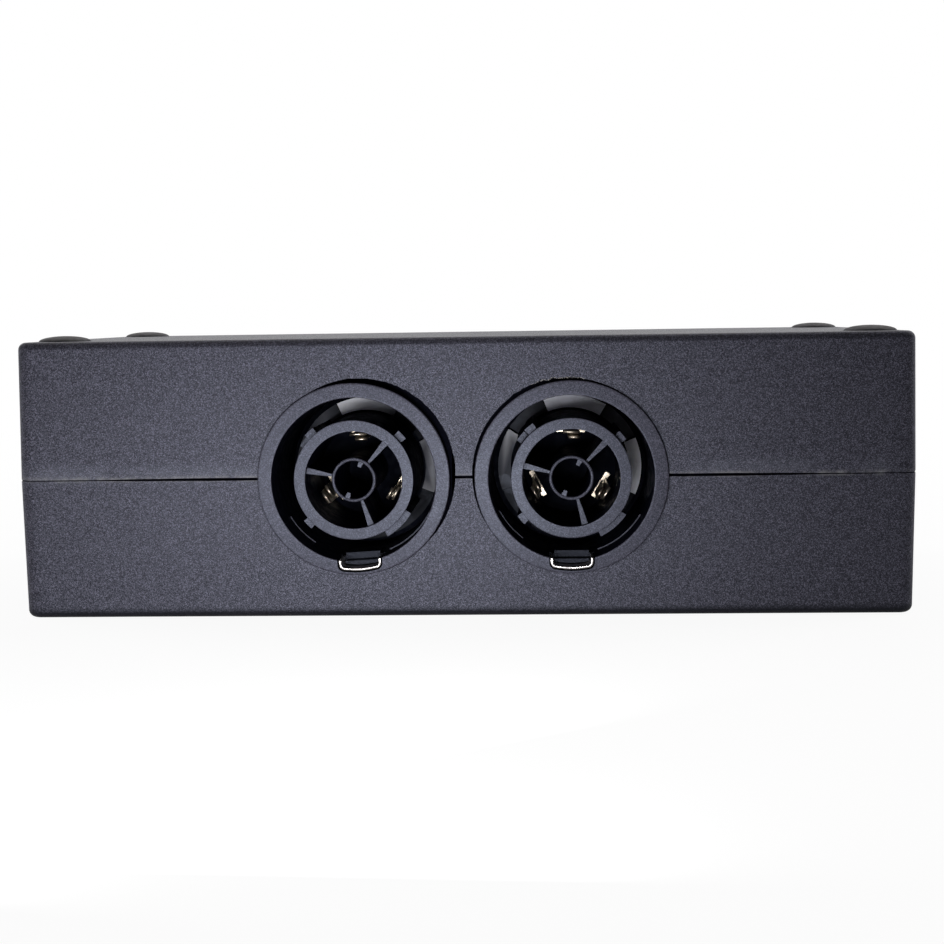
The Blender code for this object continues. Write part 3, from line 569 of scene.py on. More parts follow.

# What the effects do: how rare glints are and their mean, how much the fine noise and the pits
# count, the darkest shade, where the patches of wear and painted highlight start and how sharply, and what
# looks up
GLINT_POWER = 2.5
GLINT_MEAN = 0.286
FINE_WEIGHT = 1.2
PIT_WEIGHT = -0.6
DARKEST = 0.1
PATCHES_FROM = 0.42
PATCH_CONTRAST = 5.0
LOOKS_UP = 0.3

# How the gloss of a grain spreads a roughness, and the coat that follows the painted light on the lands
GLOSS_RANGE = (0.3, 0.7)
GLOSSIER = {"plastic": -0.08, "metal": -0.06}
DULLER = 0.08
PAINTED_LIGHT_COAT_ROUGHNESS = 0.30
PAINTED_LIGHT_COAT_IOR = 1.8
LEAST_COAT = 0.15


class Finish:
    """A Principled material, its base colour so far, and what feeds it."""

    def __init__(self, name, colour, roughness=0.5, metallic=0.0, specular=0.5):
        self.material = bpy.data.materials.new(name)
        self.material.use_nodes = True
        self.tree = self.material.node_tree
        self.shader = self.tree.nodes["Principled BSDF"]
        self.base = colour
        self.set(Roughness=roughness, Metallic=metallic, Specular_IOR_Level=specular)
        if not metallic:
            self.set(Specular_Tint=COOL_GLARE)

    def set(self, **values):
        """Feeds the shader's own sockets with sockets or plain values."""
        feed(self.tree, self.shader, {label.replace("_", " "): value for label, value in values.items()})

    def effect(self, tree, **values):
        """Places a shared effect with its own values, and gives its outputs."""
        feeds = {label.replace("_", " "): value for label, value in values.items()}
        return add(self.tree, "ShaderNodeGroup", feeds, node_tree=tree).outputs

    def paint(self, factor, colour, blend="MIX"):
        """Lays a colour over the base colour by a mask, or multiplies it in."""
        first, second = (
            (*value, 1.0) if isinstance(value, tuple) else value for value in (self.base, colour)
        )
        feeds = {0: factor, 6: first, 7: second}
        mix = add(self.tree, "ShaderNodeMix", feeds, data_type="RGBA", blend_type=blend)
        self.base = mix.outputs[2]
        self.set(Base_Color=self.base)

    def ranged(self, value, low, high, first=0.0, last=1.0):
        """A value read from one range into another."""
        feeds = {"Value": value, "From Min": first, "From Max": last, "To Min": low, "To Max": high}
        return add(self.tree, "ShaderNodeMapRange", feeds).outputs["Result"]

    def surface(self, kind, gloss, roughness, height, bump):
        """Feeds the roughness from a grain's gloss, and the normal from a height."""
        low, high = roughness + GLOSSIER[kind], roughness + DULLER
        self.set(Roughness=self.ranged(gloss, low, high, *GLOSS_RANGE))
        feeds = {"Strength": 1.0, "Distance": bump, "Height": height}
        self.set(Normal=add(self.tree, "ShaderNodeBump", feeds).outputs[0])


def own_place(tree):
    return add(tree, "ShaderNodeTexCoord").outputs["Object"]


def split(vector):
    return add(vector.id_data, "ShaderNodeSeparateXYZ", {0: vector}).outputs


def noise_over(place, scale, detail, roughness=0.5):
    """Noise over a place; its scale may be a socket."""
    feeds = {"Vector": place, "Scale": scale, "Detail": detail, "Roughness": roughness}
    return add(place.id_data, "ShaderNodeTexNoise", feeds).outputs["Fac"]


def limited(value, high=1.0):
    """A value kept between nothing and a limit."""
    return calc("MINIMUM", calc("MAXIMUM", value, 0.0), high)


def share_of_reach(tree, given):
    """How far a point is above or below a level, as a share of the effect's reach."""
    away = calc("SUBTRACT", split(own_place(tree))["Z"], given["Level"])
    return calc("DIVIDE", calc("ABSOLUTE", away), given["Reach"])


def grain_group():
    """Moulded grain: fine pits, single grains that glint, and broad unevenness."""
    inputs = {"Grain size": 0.0003, "Speckle": 0.3, "Blotch size": 0.02, "Blotch": 0.1}
    tree, given, result = new_tree("moulded_grain", "ShaderNodeTree", inputs, ("Shade", "Height", "Gloss"))
    scale = calc("DIVIDE", 1.0, given["Grain size"])
    fine = noise_over(own_place(tree), scale, 2.0, 0.6)
    grains = add(tree, "ShaderNodeTexVoronoi", {"Vector": own_place(tree), "Scale": scale}).outputs
    chance = add(tree, "ShaderNodeSeparateColor", {0: grains["Color"]}).outputs
    glint = calc("POWER", chance[0], GLINT_POWER)
    speckle = calc("MULTIPLY_ADD", calc("SUBTRACT", fine, 0.5), FINE_WEIGHT, glint)
    speckle = calc("MULTIPLY", calc("SUBTRACT", speckle, GLINT_MEAN), given["Speckle"])
    blotch_scale = calc("DIVIDE", 1.0, given["Blotch size"])
    broad = calc("SUBTRACT", noise_over(own_place(tree), blotch_scale, 2.0), 0.5)
    blotch = calc("MULTIPLY", broad, given["Blotch"])
    shade = calc("ADD", calc("ADD", speckle, blotch), 1.0)
    feeds = {
        "Shade": calc("MAXIMUM", shade, DARKEST),
        "Height": calc("MULTIPLY_ADD", grains["Distance"], PIT_WEIGHT, fine),
        "Gloss": calc("SUBTRACT", chance[1], blotch),
    }
    feed(tree, result, feeds)
    return tree


def wear_and_highlight_group():
    """Wear and painted highlight in patches along a level of the object: a mask that fades away from that
    level.
    """
    inputs = {"Level": 0.0, "Reach": 0.0003, "Patch size": 0.004, "Amount": 0.5}
    tree, given, result = new_tree("worn_level", "ShaderNodeTree", inputs, ("Mask",))
    near = calc("MAXIMUM", calc("SUBTRACT", 1.0, share_of_reach(tree, given)), 0.0)
    scale = calc("DIVIDE", 1.0, given["Patch size"])
    patches = calc("SUBTRACT", noise_over(own_place(tree), scale, 4.0, 0.7), PATCHES_FROM)
    patches = limited(calc("MULTIPLY", patches, PATCH_CONTRAST))
    mask = calc("MULTIPLY", calc("MULTIPLY", near, patches), given["Amount"])
    feed(tree, result, {"Mask": mask})
    return tree


def painted_edge_shade_group():
    """A band of painted shade round a level of the object: full in its middle half, and fading out from
    there.
    """
    inputs = {"Level": 0.0, "Reach": 0.001, "Amount": 0.5}
    tree, given, result = new_tree("moulded_edge", "ShaderNodeTree", inputs, ("Mask",))
    near = limited(calc("MULTIPLY_ADD", share_of_reach(tree, given), -2.0, 2.0))
    feed(tree, result, {"Mask": calc("MULTIPLY", near, given["Amount"])})
    return tree


def dust_and_shine_group():
    """Dust on faces that look up, in faint patches; on the feet it is also a painted sheen on their tops.
    """
    inputs = {"Amount": 0.3, "Patch size": 0.012}
    tree, given, result = new_tree("settled_dust", "ShaderNodeTree", inputs, ("Mask",))
    facing = split(add(tree, "ShaderNodeNewGeometry").outputs["Normal"])["Z"]
    upward = calc("MAXIMUM", calc("SUBTRACT", facing, LOOKS_UP), 0.0)
    scale = calc("DIVIDE", 1.0, given["Patch size"])
    dust_and_shine_mask = calc("MULTIPLY", upward, noise_over(own_place(tree), scale, 5.0, 0.65))
    feed(tree, result, {"Mask": calc("MULTIPLY", dust_and_shine_mask, given["Amount"])})
    return tree


def lines_group():
    """Fine drawn lines along one direction, for sheet metal."""
    inputs = {"Line width": 0.0001, "Line length": 0.004, "Contrast": 0.3}
    tree, given, result = new_tree("drawn_lines", "ShaderNodeTree", inputs, ("Shade", "Height"))
    spot = split(own_place(tree))
    across = calc("DIVIDE", calc("ADD", spot["X"], spot["Z"]), given["Line width"])
    along = calc("DIVIDE", spot["Y"], given["Line length"])
    joined = add(tree, "ShaderNodeCombineXYZ", {"X": across, "Y": along}).outputs[0]
    lines = noise_over(joined, 1.0, 3.0)
    centred = calc("SUBTRACT", lines, 0.5)
    shade = calc("MULTIPLY_ADD", centred, given["Contrast"], 1.0)
    feed(tree, result, {"Shade": shade, "Height": lines})
    return tree


SMALL_BLOTCHES = {"Grain_size": 0.0012, "Speckle": 0.12, "Blotch": 0.15, "Blotch_size": 0.003}
GRAIN = grain_group()
WEAR_AND_HIGHLIGHT = wear_and_highlight_group()
EDGE_SHADE_BAND = painted_edge_shade_group()
DUST_AND_SHINE = dust_and_shine_group()
LINES = lines_group()
DUST_AND_SHINE_COLOUR = (0.40, 0.36, 0.31)
EDGE_SHADE_COLOUR = (0.006, 0.006, 0.008)

# Wear and painted highlight along the parting line, where its edges catch light: colour, level, reach,
# size of the patches and amount
WEAR_AND_HIGHLIGHT_LEVELS = (
    ((0.20, 0.21, 0.26), PARTING + 0.0007, 0.0018, 0.0120, 0.34),
    ((0.30, 0.30, 0.31), PARTING + 0.0001, 0.0005, 0.0035, 0.70),
)

# Painted shade along the bottom edge and under the top edge of the case: level, reach and amount
PAINTED_EDGE_SHADES = ((-0.0002, 0.0017, 0.88), (TOP - 0.0006, 0.00045, 0.45))


def plastic(name, colour, grain_size, speckle, roughness, bump, specular=0.5, dust_and_shine=0.0, blotch=0.1):
    """Moulded plastic or rubber: grain in colour, gloss and height, and dust where it looks up, which on
    the feet is also painted sheen.
    """
    finish = Finish(name, colour, specular=specular)
    grain = finish.effect(GRAIN, Grain_size=grain_size, Speckle=speckle, Blotch=blotch)
    finish.paint(1.0, grain["Shade"], "MULTIPLY")
    if dust_and_shine:
        finish.paint(finish.effect(DUST_AND_SHINE, Amount=dust_and_shine)["Mask"], DUST_AND_SHINE_COLOUR)
    finish.surface("plastic", grain["Gloss"], roughness, grain["Height"], bump)
    return finish


def metal(name, colour, roughness, line_width, contrast, bump):
    """Sheet metal with fine drawn lines and faint stains."""
    finish = Finish(name, colour, metallic=1.0)
    lines = finish.effect(LINES, Line_width=line_width, Contrast=contrast)
    stains = finish.effect(GRAIN, **SMALL_BLOTCHES)
    finish.paint(1.0, lines["Shade"], "MULTIPLY")
    finish.paint(1.0, stains["Shade"], "MULTIPLY")
    finish.surface("metal", stains["Gloss"], roughness, lines["Height"], bump)
    return finish


def case_plastic(*values):
    """Charcoal case plastic, pale along the parting line from wear and painted highlight, and with painted
    shade at its bottom and top edges.
    """
    finish = plastic(*values)
    # Wear and painted highlight: pale bands along the parting line
    for colour, level, reach, patch, amount in WEAR_AND_HIGHLIGHT_LEVELS:
        wear_and_highlight = finish.effect(WEAR_AND_HIGHLIGHT, Level=level, Reach=reach, Patch_size=patch, Amount=amount)
        finish.paint(wear_and_highlight["Mask"], colour)
    # Painted shade: dark bands along the lower and upper rounded edges
    for level, reach, amount in PAINTED_EDGE_SHADES:
        edge = finish.effect(EDGE_SHADE_BAND, Level=level, Reach=reach, Amount=amount)
        finish.paint(edge["Mask"], EDGE_SHADE_COLOUR)
    return finish


def nylon_with_painted_light(*values):
    """Glossy nylon with pale, streaky painted highlights and painted shade that follow the land, and more
    coat where it is painted pale.
    """
    finish = plastic(*values)
    finish.set(Coat_Roughness=PAINTED_LIGHT_COAT_ROUGHNESS, Coat_IOR=PAINTED_LIGHT_COAT_IOR)
    sheen = add(finish.tree, "ShaderNodeAttribute", attribute_name="sheen").outputs
    # Painted light: the base colour is multiplied by the painted highlights and shade stored on the points
    finish.paint(1.0, sheen["Color"], "MULTIPLY")
    finish.set(Coat_Weight=finish.ranged(sheen["Fac"], 0.0, 1.0, LEAST_COAT, 1.0))
    return finish


CHARCOAL = (0.058, 0.0565, 0.0755)

# Every finish: how it is made, then the material's name and colour. A plastic goes on with its
# grain size, speckle, roughness, bump, specular level, dust and painted sheen, and blotch, and a metal
# with its roughness, its lines' width and contrast, and its bump.
RECIPES = {
    "case": (case_plastic, "case_plastic", CHARCOAL, 0.00010, 2.2, 0.36, 0.00003, 0.24, 0.14, 0.12),
    "ring": (plastic, "barrel_nylon", (0.046, 0.044, 0.061), 0.00011, 1.5, 0.40, 0.000004, 0.27),
    # Painted shade: the bore finish is the barrel's nylon darkened to near black for its deep inside,
    # where shade falls
    "bore": (plastic, "bore_nylon", (0.0024, 0.0029, 0.0070), 0.0009, 0.08, 0.50, 0.000001, 0.05),
    "insert": (plastic, "insert_nylon", (0.048, 0.048, 0.066), 0.00011, 1.4, 0.40, 0.000004, 0.27),
    # Painted shade: the socket finish is the insert's nylon darkened to near black for the deep sectors
    # and tube, where shade falls
    "socket": (plastic, "socket_nylon", (0.0022, 0.0027, 0.0068), 0.0009, 0.08, 0.55, 0.000001, 0.03),
    # The land colour is near white, so that the painted light and shade on the points set its tone
    "land": (nylon_with_painted_light, "land_nylon", (0.84, 0.85, 1.00), 0.0016, 0.10, 0.30, 0.000001, 0.05, 0, 0.3),
    "ledge": (plastic, "ledge_nylon", (0.0085, 0.0088, 0.0135), 0.00016, 0.3, 0.42, 0.000004, 0.14),
    # Painted shade: case and barrel plastic darkened to near black on the walls of the gaps and openings
    # and on the flange behind the rings, where shade falls
    "cut_edge": (plastic, "cut_edge", (0.0045, 0.0045, 0.0095), 0.00020, 0.5, 0.80, 0.00001, 0.03),
    "crumb": (plastic, "torn_plastic", (0.42, 0.40, 0.38), 0.0002, 0.3, 0.7, 0.000004, 0.2),
    # Dust and painted sheen: the feet's tops are painted pale
    "foot": (plastic, "foot_rubber", (0.068, 0.066, 0.071), 0.0005, 0.25, 0.72, 0.00002, 0.5, 0.35),
    "sleeve": (plastic, "sleeve_plastic", (0.030, 0.030, 0.032), 0.0007, 0.2, 0.5, 0.00001),
    "wire_line": (plastic, "line_insulation", (0.16, 0.06, 0.03), 0.0009, 0.12, 0.4, 0.000006),
    "wire_neutral": (plastic, "neutral_insulation", (0.04, 0.14, 0.42), 0.0009, 0.12, 0.4, 0.000006),
    "wire_earth": (plastic, "earth_insulation", (0.10, 0.36, 0.07), 0.0009, 0.12, 0.4, 0.000006),
    "keeper": (metal, "keeper_steel", (0.42, 0.40, 0.40), 0.30, 0.00012, 0.18, 0.000002),
    "clip": (metal, "clip_steel", (0.45, 0.45, 0.46), 0.34, 0.00015, 0.25, 0.000004),
    "screw": (metal, "screw_steel", (0.32, 0.32, 0.33), 0.30, 0.00020, 0.25, 0.000004),
    "contact": (metal, "contact_brass", (0.58, 0.51, 0.42), 0.34, 0.00010, 0.40, 0.000004),
}
FINISHES = {slot: make(*values).material for slot, (make, *values) in RECIPES.items()}


def dress(piece, *names, rule=None):
    """Gives a piece its finishes, and each face its own by a rule on its middle and direction."""
    piece.data.materials.clear()
    for name in names:
        piece.data.materials.append(FINISHES[name])
    for face in piece.data.polygons:
        face.material_index = rule(face.center, face.normal) if rule else 0
    return piece


# Case halves


def parting_gap(x, y):
    """The open gap between the halves: widest by the connectors, nearly shut at the far ends."""
    reach = min(1.0, max(0.0, (abs(x) - GAP_OPEN_TO) / GAP_FADE)) if y < 0.0 else GAP_BEHIND
    wander = noise.noise(Vector((x * WANDER_SCALE, y * WANDER_SCALE, WANDER_LEVEL))) * GAP_WANDER
    return PARTING_GAP * (1.0 - GAP_SHUT * reach) + wander


def case_outline(inset, corner):
    """The case's outline with round corners and evenly spaced points along its sides."""
    half_width, half_depth = CASE_WIDTH / 2 - inset - corner, CASE_DEPTH / 2 - inset - corner
    corners = four_corners(half_width, half_depth, corner, CORNER_STEPS)
    outline = []
    for index, points in enumerate(corners):
        outline += points
        start, end = Vector(points[-1]), Vector(corners[(index + 1) % 4][0])
        count = round((CASE_DEPTH if index % 2 else CASE_WIDTH) / EDGE_SPACING)
        outline += [tuple(start.lerp(end, step / count)) for step in range(1, count)]
    return outline


def case_level(inset, corner, rise, side, gaped=False):
    """The case's outline at a height above or below the parting plane, set in from its outside."""
    level = []
    for x, y in case_outline(inset + DRAFT * abs(rise), corner):
        height = rise + parting_gap(x, y) / 2 if gaped else rise
        level.append((x, y, PARTING + side * height))
    return level


def case_block(inset, corner, start, end, side):
    return lofted([case_level(inset, corner, start, side), case_level(inset, corner, end, side)])


def lip_band(outer_inset, inner_inset, height, side):
    """A band that follows the case's outline, above the parting plane."""
    corner = CORNER_RADIUS / 2
    band = case_block(outer_inset, corner, -SEAT_GAP, height, side)
    cut(band, case_block(inner_inset, corner, -2 * SEAT_GAP, height + SEAT_GAP, side))
    return band


def outer_block(height, side):
    """The outside of a case half: drafted walls, a rounded edge and a softened parting edge."""
    soft = PARTING_ROUND
    levels = []
    for inset, rise in ((soft, 0.0), (soft * 0.3, soft * 0.35), (0.0, soft * 1.2)):
        levels.append(case_level(inset, CORNER_RADIUS - inset, rise, side, gaped=True))
    rounded = [(0.0, SIDE_START), (0.0, height - EDGE_RADIUS * EDGE_FLAT_FROM)]
    for step in range(CORNER_STEPS + 1):
        angle = radians(90.0 * step / CORNER_STEPS)
        rounded.append((EDGE_RADIUS * (1 - cos(angle)), height - EDGE_RADIUS * (1 - sin(angle))))
    rounded.append((EDGE_RADIUS * EDGE_FLAT_FROM, height))
    levels += [case_level(inset, CORNER_RADIUS - inset, rise, side) for inset, rise in rounded]
    return lofted(levels)


def retaining_ribs(height, side):
    """The ribs that trap the connectors' flanges: one across behind them, guides at their sides."""
    ceiling = PARTING + side * (height - FACE_THICKNESS + EMBED)
    crest = PARTING + side * (BODY_RADIUS + AXIS_DROP + SEAT_GAP)
    guide_end = PARTING + side * (PARTING_GAP / 2 + LIP_HEIGHT + 2 * SEAT_GAP)
    across, beside = sorted((ceiling, crest)), sorted((ceiling, guide_end))
    divider = FLANGE_GAP / 2 - SEAT_GAP
    outlets = (FRONT, 0.0, PITCH / 2 + FLANGE_WIDTH / 2 + SEAT_GAP + RIB_WALL, [(-divider, divider)])
    inlet = (-CASE_WIDTH / 2, INLET_Y, FLANGE_WIDTH / 2 + SEAT_GAP + RIB_WALL, [])
    ribs = []
    for wall, middle, reach, dividers in (outlets, inlet):
        front = wall - RING_PROUD + FLANGE_BACK + SEAT_GAP
        back = front + RIB_WALL
        first, last = middle - reach, middle + reach
        bars = [(first, last, front, across)]
        for start, end in [(first, first + RIB_WALL), *dividers, (last - RIB_WALL, last)]:
            bars.append((start, end, wall + WALL - EMBED, beside))
        for start, end, near, (low, high) in bars:
            if wall == FRONT:
                ribs.append(block((start, near, low), (end, back, high)))
            else:
                ribs.append(block((near, start, low), (back, end, high)))
    return ribs


def chipping(angle, level):
    """How deep a chipped edge is at an angle, from a coarse and a finer noise."""
    spots = [Vector((cos(angle) * scale, sin(angle) * scale, level)) for scale in CHIP_SCALES]
    coarse, fine = (noise.noise(spot) for spot in spots)
    return max(0.0, coarse + FINE_CHIPS * fine + CHIP_BIAS)


def cutout_outline(name):
    """The edge of a hand-cut opening round a ring: a wide side, a hairline and chipped stretches."""
    hairline, (middle, half, extra), chipped = CUTOUTS[name]
    outline = []
    for step in range(CUT_STEPS):
        degree = 360.0 * step / CUT_STEPS
        away = abs((degree - middle + 180.0) % 360.0 - 180.0)
        gap = hairline + extra * max(0.0, cos(radians(min(90.0, away * 90.0 / half))))
        angle = radians(degree)
        for start, end, rough in chipped:
            if (degree - start) % 360.0 < end - start:
                gap += rough * chipping(angle, middle)
        radius = RING_RADIUS + gap
        outline.append((radius * cos(angle), radius * sin(angle)))
    return outline


def placed(piece, name):
    """Moves a piece from a connector's own frame to its place in the case."""
    place, turn, _ = CONNECTORS[name]
    piece.data.transform(Matrix.Translation(place) @ Matrix.Rotation(radians(turn), 4, "Z"))
    return piece


def connector_cutouts():
    """The openings through the walls for the connectors' rings."""
    tools = []
    for name in CONNECTORS:
        opening = prism(cutout_outline(name), -WALL, RING_PROUD + WALL + DRAFT * RING_RADIUS + SNUG_GAP)
        opening.data.transform(Matrix.Translation((0.0, 0.0, BORE_DROP)))
        tools.append(placed(opening, name))
    return tools


def case_half(height, side):
    """One case half with its posts and ribs, before its lip and its holes."""
    half = outer_block(height, side)
    inside = height - FACE_THICKNESS
    cut(half, case_block(WALL, CORNER_RADIUS / 2, -SEAT_GAP, inside, side))
    posts = sorted((PARTING + side * PARTING_GAP / 2, PARTING + side * (inside + EMBED)))
    for place in POSTS:
        join(half, rod(POST_RADIUS, *posts, place, "Z"))
    join(half, *retaining_ribs(height, side))
    return half


def upper_case_half():
    """The half that carries the feet, bored for the screws and recessed for the feet."""
    shell = case_half(UPPER_HEIGHT, 1)
    deep = PARTING_GAP / 2 + LIP_HEIGHT + SEAT_GAP
    cut(shell, lip_band(LIP_OUTSIDE - SEAT_GAP, LIP_INSIDE + SEAT_GAP, deep, 1))
    seat = PARTING + SCREW_SEAT_HEIGHT
    recess = FOOT_RIM + SEAT_GAP
    for place in POSTS:
        cut(shell, rod(SCREW_RADIUS + SEAT_GAP, PARTING - WALL, seat + SEAT_GAP, place, "Z"))
        cut(shell, rod(COUNTERBORE, seat, TOP + WALL, place, "Z"))
        cut(shell, rod(FOOT_RADIUS + SEAT_GAP, TOP - recess, TOP + WALL, place, "Z"))
    cut(shell, *connector_cutouts())
    return shell


def lower_case_half():
    """The plain half, with the lip that locates the other half and the screws' pilot holes."""
    shell = case_half(LOWER_HEIGHT, -1)
    join(shell, lip_band(LIP_OUTSIDE, LIP_INSIDE, LIP_HEIGHT, 1))
    pilot_end = PARTING - SCREW_BITE - SEAT_GAP
    for place in POSTS:
        cut(shell, rod(SCREW_RADIUS + SNUG_GAP, pilot_end, PARTING + WALL, place, "Z"))
    cut(shell, *connector_cutouts())
    return shell


def named(piece, name, slot, *nodes):
    """Names a finished piece, hangs it under the root, and hides the CAD nodes that it stands for."""
    piece.name = name
    piece.data.name = name
    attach(piece, "root")
    if nodes:
        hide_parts(*nodes)
    return piece


def in_a_gap(centre, normal):
    """Tells the walls of the openings and of the parting gap from the rest of a case half; those walls
    take the painted gap shade.
    """
    inset = min(CASE_WIDTH / 2 - abs(centre.x), CASE_DEPTH / 2 - abs(centre.y))
    if abs(centre.z - PARTING) < PARTING_GAP and abs(normal.z) > LEVEL_FACE:
        return 1
    if abs(centre.z - PARTING) < LIP_HEIGHT + SEAT_GAP and inset > LIP_THICKNESS:
        return 1
    for place, turn, _ in CONNECTORS.values():
        back = Matrix.Rotation(radians(-turn), 3, "Z")
        spot, facing = back @ (centre - Vector(place)), back @ normal
        past_ring = hypot(spot.x, spot.z) - RING_RADIUS
        if abs(facing.y) < SIDEWAYS and -EMBED < past_ring < CUT_REACH and spot.y < CUT_DEPTH:
            return 1
    return 0


for make, name, node in (
    (upper_case_half, "case_upper_half", "upper_shell"),
    (lower_case_half, "case_lower_half", "lower_shell"),
):
    half = smoothed(make(), SMOOTH_CASE)
    dress(half, "case", "cut_edge", rule=in_a_gap)
    named(half, name, "case", node)


# Feet


def foot_shape():
    """A low domed foot with a small rounded rim, and the spigot under it."""
    spigot = COUNTERBORE - SEAT_GAP
    under = -FOOT_RIM - FOOT_SPIGOT
    outline = [(0.0, under), (spigot - FOOT_ROUND, under), (spigot, under + FOOT_ROUND)]
    outline += [(spigot, -FOOT_RIM), (FOOT_RADIUS, -FOOT_RIM), (FOOT_RADIUS, 0.0)]
    for step in range(1, FOOT_STEPS):
        angle = radians(90.0 * step / FOOT_STEPS)
        outline.append((FOOT_RADIUS * cos(angle), FOOT_DOME * sin(angle)))
    outline.append((0.0, FOOT_DOME))
    return turned(outline, "Z", FOOT_TURN_STEPS)


def feet():
    """The four feet, as copies at the four posts."""
    points = bpy.data.meshes.new("foot_places")
    points.from_pydata([(x, y, TOP) for x, y in POSTS], [], [])
    values = {"Piece": smoothed(foot_shape(), SMOOTH_FOOT), "Finish": FINISHES["foot"]}
    return run_tree(copies_at_points_tree(), "feet", values, points)


named(feet(), "feet", "foot", "foot_1", "foot_2", "foot_3", "foot_4")


# Connectors


ROUND_COPIES = spun_copies_tree()
LABELS = {"outlet_left": "left_outlet", "outlet_right": "right_outlet", "inlet": "inlet"}


def spun_copies(shape, name, first, finish):
    """A copy of a shape for each pole, round the connector's axis."""
    values = {"Piece": shape, "Count": POLES, "First angle": radians(first), "Finish": FINISHES[finish]}
    return run_tree(ROUND_COPIES, name, values)


def flange_outline():
    """The flange's outline in a connector's own frame, a little taller below than above."""
    middle = (FLANGE_TOP - FLANGE_BOTTOM) / 2 + AXIS_DROP
    half_height = (FLANGE_TOP + FLANGE_BOTTOM) / 2 - FLANGE_CORNER
    half_width = FLANGE_WIDTH / 2 - FLANGE_CORNER
    return sum(four_corners(half_width, half_height, FLANGE_CORNER, middle=middle), [])


def keeper_loop(half, radius, corner, crest):
    """An open loop down one side of the keeper's notch, round its bottom and up the other side."""
    x, z = half - corner, -sqrt((radius - corner) ** 2 - (half - corner) ** 2)
    turn = degrees(atan2(z, x))
    right = [(x + dx, z + dz) for dx, dz in arc(corner, 0.0, turn, 12.0)]
    left = [(-x, z) for x, z in right[::-1]]
    return [(half, crest)] + right + arc(radius, turn, -180.0 - turn)[1:-1] + left + [(-half, crest)]


def barrel_body():
    """The turned part of a barrel as a closed outline: rounded ring face, bore, floor and outside."""
    step = FLANGE_BACK - FLANGE_THICKNESS / 2
    soft = RING_ROUND
    held = soft * FLAT_FROM
    outline = [(BORE_RADIUS, BORE_DEPTH), (BORE_RADIUS, held)]
    outline += rounded_corner(BORE_RADIUS + soft, soft, soft, 180.0, 270.0)
    outline += [(BORE_RADIUS + held, 0.0), (RING_RADIUS - held, 0.0)]
    outline += rounded_corner(RING_RADIUS - soft, soft, soft, 270.0, 360.0)
    outline += [(RING_RADIUS, held), (RING_RADIUS, RING_SHOWN), (RING_RADIUS, step)]
    outline += [(BODY_RADIUS, step), (BODY_RADIUS, BODY_END)]
    outline += [(FLOOR_HOLE, BODY_END), (FLOOR_HOLE, BORE_DEPTH)]
    made = turned(outline)
    for corner in made.data.vertices:
        reach = hypot(corner.co.x, corner.co.z)
        if reach > BORE_RADIUS + RING_WALL / 2 and corner.co.y < step + EMBED:
            corner.co.z += BORE_DROP
    return made


def barrel(roll):
    """The outer barrel: ring face, flange, bore with its steps, and the notch for the keeper."""
    made = barrel_body()
    through = (FLANGE_FRONT - WALL, FLANGE_BACK + WALL)
    flange = prism(flange_outline(), FLANGE_FRONT, FLANGE_BACK)
    cut(flange, rod(BODY_RADIUS - EMBED, *through, steps=TURN_STEPS))
    join(made, flange)
    hole_x = FLANGE_WIDTH / 2 - FLANGE_HOLE_MARGIN
    hole_up = FLANGE_TOP + AXIS_DROP - FLANGE_HOLE_MARGIN
    hole_down = FLANGE_BOTTOM - AXIS_DROP - FLANGE_HOLE_MARGIN
    for centre in ((-hole_x, hole_up), (hole_x, -hole_down)):
        cut(made, rod(FLANGE_HOLE_RADIUS, *through, centre))
    step_end = STEP_SETBACK + STEP_LENGTH
    for start, end in WALL_STEPS:
        inner, outer = BORE_RADIUS - STEP_HEIGHT, BORE_RADIUS + EMBED
        join(made, at_angle(sector(inner, outer, start, end, STEP_SETBACK, step_end), roll))
    outside = RING_RADIUS - KEEPER_FROM_EDGE
    notch_half = KEEPER_WIDTH / 2 + SNUG_GAP
    notch = keeper_loop(notch_half, outside + SNUG_GAP, KEEPER_CORNER + SNUG_GAP, -NOTCH_REACH)
    cut(made, at_angle(prism(notch, -WALL, NOTCH_END), roll))
    inset = KEEPER_THICKNESS + SNUG_GAP
    half = KEEPER_WIDTH / 2 - inset
    top = LEDGE_RISE - BORE_RADIUS
    for number, crest in enumerate((-BORE_RADIUS - SNUG_GAP, top)):
        ledge = keeper_loop(half, outside - inset, KEEPER_CORNER - inset, crest)
        front = LEDGE_SETBACK + number * LEDGE_STEP
        join(made, at_angle(prism(ledge, front, NOTCH_END + EMBED), roll))
    low = (-half, NOTCH_END - EMBED, -BORE_RADIUS - EMBED)
    join(made, at_angle(block(low, (half, NOTCH_END + LEDGE_LENGTH, top)), roll))

    def finish_of(centre, normal):
        outermost = hypot(centre.x, centre.z) > RING_RADIUS - RING_ROUND * 2
        facing = normal.y < FACES_FRONT
        if centre.y < RING_ROUND * 1.2 or (outermost and centre.y < RING_SHOWN):
            return 0
        # The ring's outer wall past its shown part and the flange's front take the painted gap shade
        if outermost or abs(centre.y - FLANGE_FRONT) < EMBED:
            return 3
        if facing and abs(centre.y - STEP_SETBACK) < EMBED:
            return 0
        # Other faces inside take the bore finish, which is painted shade
        return 2 if facing and centre.y < NOTCH_END + EMBED else 1

    return dress(made, "ring", "bore", "ledge", "cut_edge", rule=finish_of)


